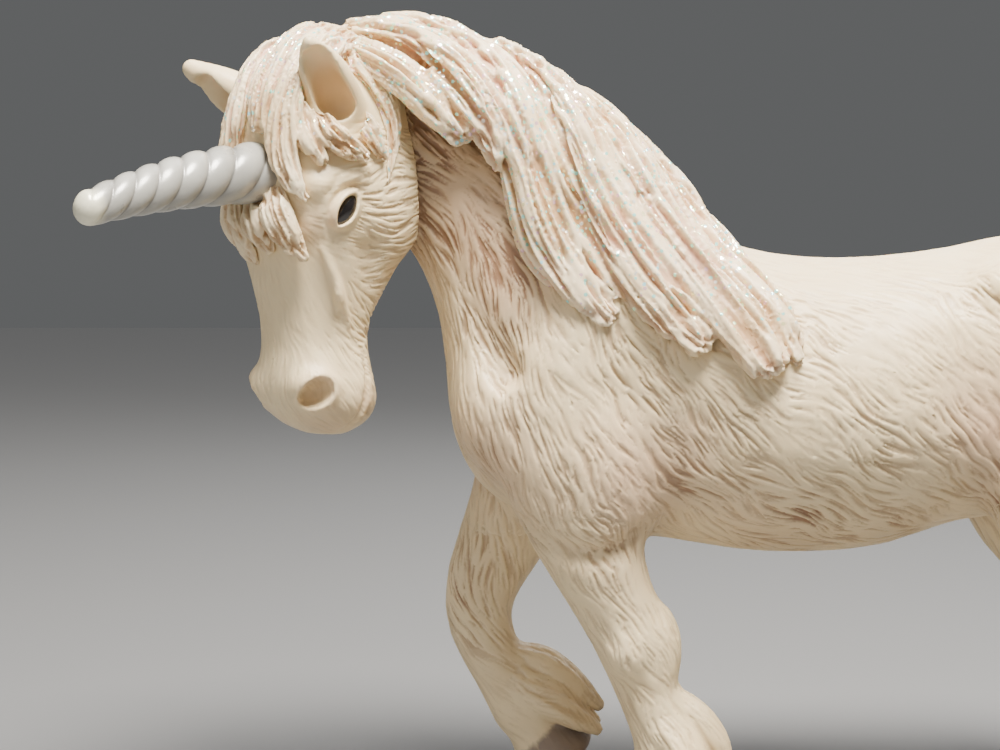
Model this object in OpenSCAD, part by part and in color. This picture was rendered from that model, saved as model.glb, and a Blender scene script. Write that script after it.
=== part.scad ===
// Moulded unicorn figure, made of separately cast vinyl pieces on locating pegs.
// The figure faces -X, its left side faces -Y, and its hooves stand on Z = 0.

/* [Figure] */
// Height of the withers above the ground
withers_height = 82; // [70:1:100]
// Turn of the head towards the figure's left, in degrees
head_turn = 48; // [42:1:54]

/* [Horn] */
// Length of the horn from its root behind the forehead
horn_length = 28; // [22:1:32]
// Diameter of the horn where it meets the forehead
horn_base_d = 8; // [7:0.5:9]
// Diameter of the horn's blunt tip
horn_tip_d = 4; // [3:0.2:4.6]
// Angle by which the horn points below level
horn_drop = 12; // [6:1:18]
// Number of coils along the horn
horn_coils = 8; // [6:1:10]

/* [Hooves] */
// Diameter of a hoof's sole
sole_d = 11.6; // [10.6:0.2:12.4]
// Height of a hoof's wall
hoof_height = 6.5; // [5.5:0.5:7.5]

/* [Pegs] */
// Diameter of the pegs that hold the legs, head, mane and tail
peg_d = 4; // [3:0.5:4.5]
// Length of those pegs in their sockets
peg_length = 6; // [4:0.5:7]
// Diameter of the horn's peg
horn_peg_d = 4; // [3:0.5:5]

/* [Smoothness] */
// Points round each section of a casting
ring_points = 24; // [16:4:28]
// Skin panels between two rows of a table
ring_steps = 2; // [1:1:2]

/* [Hidden] */

ivory = [0.93, 0.87, 0.76];
mane_cream = [0.93, 0.80, 0.70];
horn_grey = [0.66, 0.66, 0.64];
eye_black = [0.03, 0.03, 0.03];

// The tables below are in millimetres for a figure with withers this high.
table_height = 82;
k = withers_height / table_height;
// Centre of the finished figure's footprint in the tables' frame.
footprint_centre = [6.3, -8.9, 0];

// ---- Tables --------------------------------------------------------------

// Outline rows: [top x, top z, bottom x, bottom z, half width, centre y, roundness].
// A roundness of 1 gives an ellipse, and a smaller one a squarer section.
// Body and neck, from the buttocks to the poll.
TRUNK = [
    [67.0, 70.0, 68.5, 61.0,  4.0,  0.0, 1],
    [64.0, 75.5, 66.5, 51.0, 11.0,  0.0, 1],
    [58.0, 79.0, 60.0, 44.0, 15.5,  0.0, 1],
    [50.0, 80.0, 50.5, 41.5, 17.5,  0.0, 1],
    [41.0, 78.2, 41.5, 40.5, 17.5,  0.0, 1],
    [31.0, 76.9, 31.5, 37.2, 19.0,  0.0, 1],
    [21.0, 76.8, 21.0, 36.2, 20.0,  0.0, 1],
    [12.0, 78.3, 11.0, 36.6, 19.5,  0.0, 1],
    [ 4.5, 81.8,  1.0, 38.2, 17.5,  0.0, 1],
    [-0.5, 85.6, -9.0, 38.7, 16.5,  0.0, 1],
    [-5.0, 89.4, -17.0, 41.0, 15.0, 0.0, 1],
    [-10.0, 92.8, -23.6, 45.6, 13.5, 0.0, 1],
    [-15.0, 95.8, -27.0, 52.6, 11.5, 0.0, 1],
    [-21.0, 99.0, -27.9, 60.5, 9.6, 0.0, 1],
    [-26.5, 101.8, -28.8, 68.0, 8.4, 0.0, 1],
    [-32.0, 103.4, -31.4, 75.5, 7.2, -0.6, 1],
    [-38.0, 103.4, -36.0, 82.0, 6.0, -2.6, 1],
    [-42.0, 101.4, -40.4, 88.0, 3.8, -4.2, 1]
];

// Head before it is turned, hanging from the poll. The first point of a row is on the
// face and the second is on the jaw.
HEAD = [
    [-1.0,   0.9,  5.6,   0.9, 3.5, 0, 1],
    [-5.0,  -1.0,  8.8,  -1.0, 6.5, 0, 0.95],
    [-8.6,  -4.6, 10.8,  -4.6, 8.0, 0, 0.85],
    [-11.2, -9.0, 11.6,  -9.0, 9.0, 0, 0.8],
    [-12.4, -15.0, 12.1, -15.0, 9.7, 0, 0.72],
    [-12.3, -21.0, 12.0, -21.0, 9.7, 0, 0.72],
    [-11.2, -26.5, 10.6, -26.0, 8.8, 0, 0.75],
    [-9.9, -31.0,  8.0, -31.0, 7.6, 0, 0.8],
    [-8.9, -35.5,  5.6, -35.5, 6.6, 0, 0.85],
    [-8.5, -39.5,  5.4, -39.5, 6.4, 0, 0.85],
    [-8.9, -43.5,  6.2, -43.5, 7.1, 0, 0.8],
    [-8.0, -46.8,  6.4, -46.8, 6.9, 0, 0.85],
    [-5.2, -49.4,  5.2, -49.4, 5.2, 0, 0.95],
    [-1.5, -50.8,  3.0, -50.8, 2.5, 0, 1]
];
head_at = [-43.2, -6.8, 104];
head_tuck = 2;

// Limb rows: [x, y, z, half size across the path in the side view, half width in y].
LEFT_FORELEG = [
    [ -6.0, -8.5, 74.0,  6.5, 5.0],
    [-10.0, -10.0, 62.0, 10.0, 7.0],
    [-11.0, -10.3, 50.0, 10.0, 7.2],
    [ -9.0, -9.6, 40.0,  7.4, 6.2],
    [ -5.4, -8.8, 31.0,  5.6, 5.0],
    [ -2.2, -8.2, 24.5,  5.4, 4.8],
    [ -0.4, -8.0, 18.0,  4.4, 3.9],
    [  2.6, -7.8, 12.0,  5.2, 4.7],
    [  2.2, -7.8,  8.0,  4.9, 4.8],
    [  1.4, -7.8,  4.0,  4.4, 4.4]
];
RIGHT_FORELEG = [
    [ -6.0, 8.5, 74.0,  6.5, 5.0],
    [-11.0, 10.0, 62.0, 10.0, 7.0],
    [-14.0, 10.3, 50.0,  9.6, 7.2],
    [-18.5, 9.8, 40.0,  7.0, 5.8],
    [-23.0, 9.0, 30.5,  5.4, 5.0],
    [-23.4, 8.6, 24.0,  4.6, 4.4],
    [-20.4, 8.4, 17.6,  4.2, 3.9],
    [-16.8, 8.3, 12.8,  5.4, 4.7],
    [-15.4, 8.3, 10.2,  4.8, 4.7],
    [-14.8, 8.3,  8.4,  4.2, 4.2]
];
LEFT_HIND_LEG = [
    [ 55.0, -8.0, 70.0,  9.0, 6.0],
    [ 55.5, -10.5, 58.0, 12.5, 8.0],
    [ 54.8, -11.5, 47.5, 11.4, 7.6],
    [ 56.8, -11.4, 40.5,  9.4, 6.8],
    [ 63.6, -10.8, 31.0,  5.6, 4.8],
    [ 68.6, -10.4, 24.5,  4.8, 4.2],
    [ 71.4, -10.2, 17.0,  4.0, 3.7],
    [ 73.6, -10.0, 11.4,  5.0, 4.6],
    [ 72.2, -10.0,  7.4,  4.9, 4.8],
    [ 71.0, -10.0,  4.0,  4.4, 4.4]
];
RIGHT_HIND_LEG = [
    [ 55.0, 8.0, 70.0,  9.0, 6.0],
    [ 55.5, 10.5, 58.0, 12.5, 8.0],
    [ 54.5, 11.5, 47.5, 10.8, 7.6],
    [ 56.4, 11.4, 39.0,  8.2, 6.4],
    [ 61.2, 10.8, 30.0,  5.4, 4.8],
    [ 63.8, 10.4, 23.5,  4.8, 4.2],
    [ 63.4, 10.2, 16.5,  4.0, 3.7],
    [ 63.4, 10.0, 11.2,  5.0, 4.6],
    [ 61.6, 10.0,  7.2,  4.9, 4.8],
    [ 60.4, 10.0,  4.0,  4.4, 4.4]
];
TAIL = [
    [ 62.0, 0.0, 73.0, 3.2, 3.2],
    [ 67.5, 0.0, 75.0, 3.6, 3.6],
    [ 73.0, 0.5, 72.5, 4.4, 4.6],
    [ 77.0, 1.0, 66.0, 5.0, 5.6],
    [ 78.8, 1.4, 56.0, 5.2, 6.2],
    [ 78.4, 1.8, 45.0, 4.8, 6.0],
    [ 76.8, 2.2, 34.0, 4.0, 5.0],
    [ 76.0, 2.6, 25.0, 2.8, 3.6],
    [ 77.0, 3.0, 17.5, 1.0, 1.4]
];

// The mane's locks, as limb rows: the crest, then the left side, then the right side.
MANE_LOCKS = [
    [[-44, -4.4, 101.4, 3.0, 5.0], [-38, -3.0, 106.0, 3.2, 6.0], [-28, -0.4, 106.0, 3.2, 5.6],
     [-16, 0.4, 98.6, 3.2, 5.6], [-5.0, 0.4, 91.4, 3.0, 5.0], [4.0, 0.0, 82.4, 1.2, 2.0]],
    [[-40, -3.5, 103.4, 3.0, 2.6], [-35, -9.0, 101, 3.2, 2.4], [-29, -11.0, 96.5, 3.0, 2.2],
     [-25.5, -11.2, 92.5, 1.2, 1.2]],
    [[-38, -1.0, 105, 3.0, 2.6], [-29, -8.0, 102.4, 3.8, 2.8], [-23, -11.0, 95, 3.4, 2.6],
     [-20.5, -11.6, 87.5, 1.2, 1.2]],
    [[-32, 0.0, 105, 3.4, 3.0], [-21, -8.0, 99.6, 4.4, 3.0], [-16.5, -12.4, 89.4, 4.6, 2.8],
     [-13.5, -15.4, 78.6, 4.2, 2.6], [-6.0, -17.2, 70.5, 1.4, 1.2]],
    [[-24, 0.0, 102.4, 3.4, 3.0], [-13, -8.0, 95.6, 4.6, 3.2], [-8.0, -13.4, 85, 4.8, 2.8],
     [-1.0, -17.2, 74, 4.0, 2.6], [7.5, -18.8, 65, 1.4, 1.4]],
    [[-16, 0.0, 98.6, 3.4, 3.0], [-6.6, -7.6, 91, 4.2, 3.2], [-0.4, -13.4, 81.5, 4.2, 2.8],
     [8.0, -17.6, 71, 3.8, 2.6], [15.0, -19.6, 62.5, 1.4, 1.4]],
    [[-9, 0.0, 94, 3.0, 3.0], [-0.6, -6.0, 86.5, 3.2, 3.0], [6.0, -12.0, 77.0, 3.4, 2.6],
     [13.6, -17.0, 69.6, 3.2, 2.4], [17.6, -19.2, 62.6, 1.4, 1.2]],
    [[-34, 2.0, 103, 3.0, 2.6], [-26, 7.0, 97.6, 3.6, 2.6], [-22, 10.2, 90, 3.2, 2.4],
     [-20, 11.4, 83, 1.2, 1.2]],
    [[-18, 2.0, 98, 3.2, 2.8], [-11, 8.6, 91.6, 3.8, 2.8], [-8.0, 13.0, 82, 3.4, 2.4],
     [-5.0, 15.6, 75, 1.2, 1.2]]
];
lock_points = 12;

// The forelock's locks, as limb rows in the head's own frame, round the horn.
FORELOCK = [
    [[-1.0, 0.0, 1.2, 2.2, 5.0], [-7.6, 0.0, -2.2, 2.2, 5.2], [-12.0, 0.0, -7.6, 1.6, 3.8],
     [-13.2, 0.0, -11.4, 1.2, 2.4]],
    [[-5.0, -3.6, -0.6, 2.2, 2.8], [-10.6, -5.8, -6.4, 2.0, 2.6], [-12.2, -6.8, -14.0, 1.8, 2.4],
     [-11.6, -6.6, -20.0, 1.6, 2.0], [-11.6, -4.6, -25.4, 0.8, 0.9]],
    [[-5.0, 3.6, -0.6, 2.2, 2.8], [-10.6, 5.8, -6.4, 2.0, 2.6], [-12.2, 6.8, -14.0, 1.8, 2.4],
     [-11.6, 6.6, -20.0, 1.6, 2.0], [-11.6, 4.6, -25.0, 0.8, 0.9]],
    [[-6.4, -3.8, -1.4, 2.4, 2.8], [-7.4, -8.0, -8.0, 2.2, 2.2], [-5.4, -9.6, -13.0, 1.8, 1.6],
     [-2.6, -10.0, -17.0, 0.8, 0.8]]
];

// Ears in the head's own frame: [root, tip, root radius].
EARS = [
    [[-4.5, -6.2, -8.5], [-11.5, -8.6, -1.8], 3.4],
    [[-4.5, 6.2, -8.5], [-12.5, 13.4, -2.6], 3.4]
];
ear_tip_r = 0.9;

// ---- Joins between pieces ------------------------------------------------

// Foot of a leg's peg on its seat: [x, distance from the middle, z].
fore_seat = [-11, 9.4, 39.6];
hind_seat = [54, 10.8, 42.0];
// Slope of the seats, which rise towards the outside.
seat_tilt = 24;
// Length of a peg inside its own piece.
peg_root = 3;
neck_end = [-41.2, -4.2, 95];
tail_peg_at = [66, 0, 73];
mane_peg_at = [-16, 0, 90];
forelock_peg_at = [-2.5, 0, -3];
forelock_peg_d = 3;
forelock_peg_length = 4;
horn_at = [-11.6, 0, -16.4];
// Where the horn's skin starts, behind the forehead.
horn_root = -3;
horn_peg_length = 5;
// Depth of the groove between coils, as a share of the horn's radius.
coil_depth = 0.14;
// 1 tapers the horn evenly, and more keeps it thick towards the tip.
horn_taper = 1.5;
rings_per_coil = 6;
eye_at = [-4.6, 8.0, -21.4];
eye_d = 4;
coronet_ratio = 0.8;
left_fore_hoof = [0.4, -7.8, 0];
left_hind_hoof = [70.0, -10, 0];
right_hind_hoof = [59.4, 10, 0];
// The raised hoof hangs back and just touches the ground with its toe.
raised_hoof_tilt = -44;
right_fore_hoof = [-10.8, 8.3, sole_d / 2 * sin(-raised_hoof_tilt)];
// Larger than the figure.
block = 300;
round_fn = 48;

// ---- Shape functions -----------------------------------------------------

// A point on the smooth curve through rows b and c of a table.
function between(a, b, c, d, t) =
    0.5 * (2 * b + (c - a) * t + (2 * a - 5 * b + 4 * c - d) * t * t
        + (3 * b - a - 3 * c + d) * t * t * t);

// The table with extra rows, so that the skin through them is smooth.
function smooth_rows(rows, steps) = let (last = len(rows) - 1) [
    for (i = [0 : last - 1], s = [0 : steps - 1])
        between(rows[max(i - 1, 0)], rows[i], rows[i + 1], rows[min(i + 2, last)], s / steps),
    rows[last]
];

function squared(u, roundness) = sign(u) * pow(abs(u), roundness);

// Section of an outline row, between its two outline points.
function outline_ring(r, n) = [
    for (i = [0 : n - 1]) let (
        u = squared(cos(360 * i / n), r[6]),
        v = squared(sin(360 * i / n), r[6])
    ) [
        (r[0] + r[2]) / 2 + (r[0] - r[2]) / 2 * u,
        r[5] + r[4] * v,
        (r[1] + r[3]) / 2 + (r[1] - r[3]) / 2 * u
    ]
];

// Section of a limb row: an ellipse across the path, whose side-view direction is t.
function limb_ring(r, t, n) = let (l = norm(t)) [
    for (i = [0 : n - 1]) let (a = 360 * i / n) [
        r[0] + r[3] * cos(a) * t[1] / l,
        r[1] + r[4] * sin(a),
        r[2] - r[3] * cos(a) * t[0] / l
    ]
];

// Direction of a limb's path at row i, in the side view.
function heading(rows, i) = let (
    p = rows[max(i - 1, 0)],
    q = rows[min(i + 1, len(rows) - 1)]
) [q[0] - p[0], q[2] - p[2]];

function outline_rings(rows, n) = [
    for (r = smooth_rows(rows, ring_steps)) outline_ring(r, n)
];

function limb_rings(rows, n) = let (all = smooth_rows(rows, ring_steps)) [
    for (i = [0 : len(all) - 1]) limb_ring(all[i], heading(all, i), n)
];

// Radius of the horn's skin at a share t of its length and an angle a.
function horn_radius(t, a) =
    (horn_base_d + (horn_tip_d - horn_base_d) * pow(t, horn_taper)) / 2
        * (1 - coil_depth * pow(sin(180 * horn_coils * t - a / 2), 8));

// ---- Building blocks -----------------------------------------------------

// Closed skin through a list of equal rings.
module skin(rings) {
    n = len(rings[0]);
    last = len(rings) - 1;
    sides = [
        for (i = [0 : last - 1], j = [0 : n - 1])
            let (a = i * n + j, b = i * n + (j + 1) % n)
                each [[a, b + n, b], [a, a + n, b + n]]
    ];
    first_cap = [for (j = [0 : n - 1]) j];
    last_cap = [for (j = [n - 1 : -1 : 0]) last * n + j];
    polyhedron([for (r = rings) each r], concat(sides, [first_cap, last_cap]));
}

// One closed skin round masses that overlap, as a mould gives. It changes no size.
module cast() {
    resize([0, 0, 0]) union() children();
}

module limb(rows, n = ring_points) {
    skin(limb_rings(rows, n));
}

module trunk() {
    skin(outline_rings(TRUNK, ring_points));
}

// Moves a piece from the tables' frame to the finished figure's.
module placed() {
    scale(k) translate(-footprint_centre) children();
}

// Moves a piece from the head's own frame to the tables' frame.
module on_head() {
    translate(head_at) rotate([0, head_tuck, head_turn]) children();
}

// The frame of a leg's flat seat, whose +Z points into the body. Side is -1 on the left.
module at_seat(seat, side) {
    translate([seat[0], side * seat[1], seat[2]]) rotate([side * seat_tilt, 0, 0]) children();
}

// Everything on the body's side of a seat.
module body_side(seat, side) {
    at_seat(seat, side) translate([-block / 2, -block / 2, 0]) cube(block);
}

// Everything on the leg's side of a seat.
module leg_side(seat, side) {
    at_seat(seat, side) translate([-block / 2, -block / 2, -block]) cube(block);
}

// A peg that rises along +Z from the surface it is rooted in.
module peg(length = peg_length, d = peg_d) {
    translate([0, 0, -peg_root]) cylinder(h = length + peg_root, d = d, $fn = round_fn);
}

module leg_peg(seat, side) {
    at_seat(seat, side) peg();
}

module head_peg() {
    translate(neck_end) rotate([0, 90, 0]) peg();
}

module tail_peg() {
    translate(tail_peg_at) rotate([0, -90, 0]) peg();
}

module mane_peg() {
    translate(mane_peg_at) cylinder(h = peg_length + peg_root, d = peg_d, $fn = round_fn);
}

module forelock_peg() {
    on_head() translate(forelock_peg_at)
        cylinder(h = forelock_peg_length, d = forelock_peg_d, $fn = round_fn);
}

// The horn's frame: it grows along +Z from the forehead.
module on_forehead() {
    on_head() translate(horn_at) rotate([0, -90 - horn_drop, 0]) children();
}

module horn_peg() {
    on_forehead() rotate([180, 0, 0]) peg(horn_peg_length, horn_peg_d);
}

module eye(side) {
    on_head() translate([eye_at[0], side * eye_at[1], eye_at[2]]) sphere(d = eye_d, $fn = round_fn);
}

module ear(e) {
    hull() {
        translate(e[0]) sphere(e[2], $fn = 16);
        translate(e[1]) sphere(ear_tip_r, $fn = 16);
    }
}

module head_mass() {
    on_head() {
        skin(outline_rings(HEAD, ring_points));
        for (e = EARS) ear(e);
    }
}

module hoof() {
    cylinder(h = hoof_height, d1 = sole_d, d2 = sole_d * coronet_ratio, $fn = round_fn);
}

// A leg below its seat, with its peg and hoof.
module leg(rows, seat, side, hoof_at, hoof_tilt = 0) {
    color(ivory) union() {
        cast() difference() {
            intersection() {
                limb(rows);
                leg_side(seat, side);
            }
            trunk();
        }
        leg_peg(seat, side);
        translate(hoof_at) rotate([0, hoof_tilt, 0]) hoof();
    }
}

// The part of a leg's mass that is cast with the body.
module shoulder(rows, seat, side) {
    intersection() {
        limb(rows);
        body_side(seat, side);
    }
}

// ---- Pieces --------------------------------------------------------------

module torso() {
    color(ivory) difference() {
        cast() {
            trunk();
            shoulder(LEFT_FORELEG, fore_seat, -1);
            shoulder(RIGHT_FORELEG, fore_seat, 1);
            shoulder(LEFT_HIND_LEG, hind_seat, -1);
            shoulder(RIGHT_HIND_LEG, hind_seat, 1);
        }
        for (side = [-1, 1]) {
            leg_peg(fore_seat, side);
            leg_peg(hind_seat, side);
        }
        head_peg();
        tail_peg();
        mane_peg();
    }
}

module head() {
    color(ivory) difference() {
        union() {
            cast() difference() {
                head_mass();
                trunk();
            }
            head_peg();
        }
        horn_peg();
        forelock_peg();
        for (side = [-1, 1]) eye(side);
    }
}

module horn() {
    steps = horn_coils * rings_per_coil;
    rings = [
        for (i = [0 : steps]) let (t = i / steps) [
            for (j = [0 : ring_points - 1]) let (a = 360 * j / ring_points, r = horn_radius(t, a))
                [r * cos(a), r * sin(a), horn_root + (horn_length - horn_root) * t]
        ]
    ];
    color(horn_grey) union() {
        cast() difference() {
            on_forehead() skin(rings);
            head_mass();
        }
        horn_peg();
    }
}

module mane() {
    color(mane_cream) union() {
        cast() difference() {
            union() for (lock = MANE_LOCKS) limb(lock, lock_points);
            trunk();
            head_mass();
        }
        mane_peg();
    }
}

module forelock() {
    color(mane_cream) union() {
        cast() difference() {
            on_head() for (lock = FORELOCK) limb(lock, lock_points);
            head_mass();
            on_forehead() cylinder(h = horn_length, d = horn_base_d, $fn = round_fn);
        }
        forelock_peg();
    }
}

module tail() {
    color(mane_cream) union() {
        cast() difference() {
            limb(TAIL);
            trunk();
        }
        tail_peg();
    }
}

module left_foreleg() leg(LEFT_FORELEG, fore_seat, -1, left_fore_hoof);
module right_foreleg() leg(RIGHT_FORELEG, fore_seat, 1, right_fore_hoof, raised_hoof_tilt);
module left_hind_leg() leg(LEFT_HIND_LEG, hind_seat, -1, left_hind_hoof);
module right_hind_leg() leg(RIGHT_HIND_LEG, hind_seat, 1, right_hind_hoof);
module left_eye() color(eye_black) eye(-1);
module right_eye() color(eye_black) eye(1);

placed() torso();
placed() head();
placed() horn();
placed() mane();
placed() forelock();
placed() tail();
placed() left_foreleg();
placed() right_foreleg();
placed() left_hind_leg();
placed() right_hind_leg();
placed() left_eye();
placed() right_eye();
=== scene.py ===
"""Looks of the moulded unicorn figure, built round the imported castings.

Each CAD casting is turned into a field of signed distances, the castings are melted together
where paint hides the joins, muscles and features are added as clay, and each piece is cut back
out of the melt. The skins then get their hair grooves. Lengths are millimetres in the figure's
own frame, whose origin is on the ground under the girth, until a mesh is made.
"""
import math

import bpy
import numpy as np
import openvdb as vdb
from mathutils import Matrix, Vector


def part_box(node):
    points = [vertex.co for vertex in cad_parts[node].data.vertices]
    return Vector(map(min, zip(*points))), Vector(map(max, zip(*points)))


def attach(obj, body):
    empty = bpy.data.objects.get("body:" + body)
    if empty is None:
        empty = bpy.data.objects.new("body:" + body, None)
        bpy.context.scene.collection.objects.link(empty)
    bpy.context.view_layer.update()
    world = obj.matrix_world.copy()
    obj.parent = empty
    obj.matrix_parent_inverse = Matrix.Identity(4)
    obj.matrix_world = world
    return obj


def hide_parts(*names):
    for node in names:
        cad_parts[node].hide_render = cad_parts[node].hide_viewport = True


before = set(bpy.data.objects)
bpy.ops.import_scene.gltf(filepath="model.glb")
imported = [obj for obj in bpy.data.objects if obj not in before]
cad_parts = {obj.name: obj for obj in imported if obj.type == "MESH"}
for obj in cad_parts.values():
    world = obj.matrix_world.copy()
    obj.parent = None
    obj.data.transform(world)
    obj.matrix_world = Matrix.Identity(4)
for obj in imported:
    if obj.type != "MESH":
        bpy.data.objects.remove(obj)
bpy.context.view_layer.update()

MM = 0.001
rng = np.random.default_rng(7)

# The buttocks are this far behind the girth, where the figure's own frame starts.
BUTTOCKS_X = 68.5
torso_low, torso_high = (np.array(corner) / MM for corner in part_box("torso"))
ORIGIN = np.array([torso_high[0] - BUTTOCKS_X, (torso_low[1] + torso_high[1]) / 2, 0.0])


# ---- Camera, light and floor ---------------------------------------------

VIEW_CENTRE = np.array([-20.6, 0.0, 60.5])
VIEW_DISTANCE = 260.0
VIEW_ELEVATION = math.radians(4.0)
VIEW_LENS = 68.1


def to_metres(p):
    return (np.asarray(p, float) + ORIGIN) * MM


def add_camera():
    forward = np.array([0.0, math.cos(VIEW_ELEVATION), -math.sin(VIEW_ELEVATION)])
    camera = bpy.data.objects.new("camera", bpy.data.cameras.new("camera"))
    bpy.context.scene.collection.objects.link(camera)
    camera.location = to_metres(VIEW_CENTRE - forward * VIEW_DISTANCE)
    camera.rotation_euler = (math.pi / 2 - VIEW_ELEVATION, 0, 0)
    camera.data.lens = VIEW_LENS
    camera.data.sensor_width = 36.0
    camera.data.clip_start = 0.01
    bpy.context.scene.camera = camera


def add_light(name, kind, power):
    light = bpy.data.lights.new(name, kind)
    light.energy = power
    lamp = bpy.data.objects.new(name, light)
    bpy.context.scene.collection.objects.link(lamp)
    return lamp


def add_area_light(name, place, target, size, power, colour):
    lamp = add_light(name, "AREA", power)
    lamp.data.shape = "DISK"
    lamp.data.size = size
    lamp.data.color = colour
    lamp.location = to_metres(place)
    aim = to_metres(target) - to_metres(place)
    lamp.rotation_euler = Vector(aim).to_track_quat("-Z", "Y").to_euler()


# Each area light: name, place and target in millimetres, size in metres, power in watts, colour.
AREA_LIGHTS = [
    ("key", (45, -140, 440), (0, 0, 60), 0.2, 8.0, (1.0, 0.955, 0.89)),
    ("fill", (-280, -380, 220), (0, 0, 60), 0.5, 0.6, (0.97, 0.98, 1.0)),
    ("rim", (160, 330, 330), (0, 0, 70), 0.4, 1.2, (1.0, 1.0, 1.0))
]
SKY_POWER = 1.5
SKY_SPREAD = math.radians(80)
BACKDROP = (0.80, 0.82, 0.83, 1)
BACKDROP_STRENGTH = 0.15
FLOOR_SIZE = 3.0


def add_studio():
    for light in AREA_LIGHTS:
        add_area_light(*light)
    # A broad light from overhead keeps the far floor as bright as the near one.
    add_light("sky", "SUN", SKY_POWER).data.angle = SKY_SPREAD
    world = bpy.data.worlds.new("world")
    bpy.context.scene.world = world
    world.use_nodes = True
    background = world.node_tree.nodes["Background"]
    background.inputs["Color"].default_value = BACKDROP
    background.inputs["Strength"].default_value = BACKDROP_STRENGTH
    bpy.ops.mesh.primitive_plane_add(size=FLOOR_SIZE, location=(0, 0, 0))
    floor = bpy.context.object
    floor.name = "floor"
    floor.data.materials.append(floor_material())


def floor_material():
    material = bpy.data.materials.new("floor")
    material.use_nodes = True
    shader = material.node_tree.nodes["Principled BSDF"]
    shader.inputs["Base Color"].default_value = (0.17, 0.17, 0.17, 1)
    shader.inputs["Roughness"].default_value = 0.8
    return material


# ---- Fields of signed distances -------------------------------------------

# Distance that stands for far outside.
FAR = 4.0


class Block:
    """A box of voxels that holds signed distances, negative inside."""

    def __init__(self, low, high, voxel):
        self.voxel = voxel
        self.start = np.floor(np.asarray(low, float) / voxel).astype(int)
        stop = np.ceil(np.asarray(high, float) / voxel).astype(int)
        self.shape = tuple(int(n) for n in stop - self.start)

    def transform(self):
        return vdb.createLinearTransform(voxelSize=self.voxel)

    def ijk(self):
        return tuple(int(i) for i in self.start)

    def full(self):
        return np.full(self.shape, FAR, np.float32)

    def dense(self, grid):
        values = np.empty(self.shape, np.float32)
        grid.copyToArray(values, ijk=self.ijk())
        return values

    def of_mesh(self, points, triangles, band):
        """Distances to a closed mesh, kept within band millimetres."""
        grid = vdb.FloatGrid.createLevelSetFromPolygons(
            points.astype(np.float32), triangles=triangles.astype(np.uint32),
            transform=self.transform(), halfWidth=band / self.voxel)
        return self.dense(grid)

    def skin(self, values, level=0.0):
        """Points and quads of the surface at a level."""
        grid = vdb.FloatGrid(float(values.max()))
        grid.transform = self.transform()
        grid.gridClass = vdb.GridClass.LEVEL_SET
        grid.copyFromArray(values, ijk=self.ijk(), tolerance=0.0)
        points, triangles, quads = grid.convertToPolygons(isovalue=level, adaptivity=0.0)
        return points.astype(float), quads[:, ::-1].astype(np.int64)

    def triangles(self, values):
        """Points and triangles of the surface."""
        points, quads = self.skin(values)
        return points, halves(quads)

    def closed(self, values, radius):
        """The field with its narrow gaps and inner corners filled to a radius."""
        points, quads = self.skin(values, radius)
        band = radius + 4 * self.voxel + 2.0
        return self.of_mesh(points, halves(quads[:, ::-1]), band) + radius

    def window(self, centre, reach):
        """Slices round a place, and the places of the voxels in them."""
        low = np.floor((np.asarray(centre) - reach) / self.voxel).astype(int) - self.start
        high = np.ceil((np.asarray(centre) + reach) / self.voxel).astype(int) - self.start + 1
        low = np.clip(low, 0, self.shape)
        high = np.clip(high, 0, self.shape)
        cut = tuple(slice(a, b) for a, b in zip(low, high))
        axes = [(np.arange(a, b) + s) * self.voxel for a, b, s in zip(low, high, self.start)]
        places = np.stack(np.meshgrid(*axes, indexing="ij"), -1).astype(np.float32)
        return cut, places

    def sample(self, values, points):
        """Values at points, by linear interpolation."""
        cells = np.clip(points / self.voxel - self.start, 0, np.array(self.shape) - 1.001)
        return between_cells(values, cells)


def between_cells(values, cells):
    """Values of a grid at places between its cells, by linear interpolation."""
    base = np.floor(cells).astype(int)
    part = cells - base
    total = 0.0
    for corner in np.ndindex(2, 2, 2):
        weight = np.prod(np.where(corner, part, 1 - part), axis=1)
        i, j, k = (base + corner).T
        total = total + (values[i, j, k].T * weight).T
    return total


def halves(quads):
    return np.concatenate([quads[:, [0, 1, 2]], quads[:, [0, 2, 3]]])


def blurred(values, sigma):
    """Gaussian blur along each axis. Sigma is in voxels."""
    reach = int(math.ceil(2.5 * sigma))
    weights = np.exp(-0.5 * (np.arange(-reach, reach + 1) / sigma) ** 2)
    weights /= weights.sum()
    for axis in range(3):
        pad = [(reach, reach) if a == axis else (0, 0) for a in range(3)]
        padded = np.pad(values, pad, mode="edge")
        length = values.shape[axis]
        total = np.zeros_like(values)
        for i, w in enumerate(weights):
            part = [slice(None)] * 3
            part[axis] = slice(i, i + length)
            total += np.float32(w) * padded[tuple(part)]
        values = total
    return values


def melt(a, b, blend):
    """Union of two fields, with the corner between them filled."""
    h = np.maximum(blend - np.abs(a - b), 0) / blend
    return np.minimum(a, b) - h * h * blend / 4


def carve(a, b, blend):
    """Field a with field b taken away, and the edge rounded."""
    return -melt(-a, b, blend)


def unit(v):
    v = np.asarray(v, float)
    return v / np.linalg.norm(v)


def rod(places, a, b, radius_a, radius_b):
    """Distance to a rod with round ends."""
    a, b = np.asarray(a, np.float32), np.asarray(b, np.float32)
    along = b - a
    t = np.clip(((places - a) @ along) / (along @ along), 0, 1)
    nearest = a + t[..., None] * along
    return np.linalg.norm(places - nearest, axis=-1) - (radius_a + (radius_b - radius_a) * t)


def egg(places, centre, radii, axes):
    """Distance to an ellipsoid whose axes are the rows of a matrix."""
    local = (places - np.asarray(centre, np.float32)) @ np.asarray(axes, np.float32).T
    radii = np.asarray(radii, np.float32)
    k0 = np.linalg.norm(local / radii, axis=-1)
    k1 = np.linalg.norm(local / radii ** 2, axis=-1) + 1e-6
    return k0 * (k0 - 1) / k1


# ---- Frames ----------------------------------------------------------------

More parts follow.
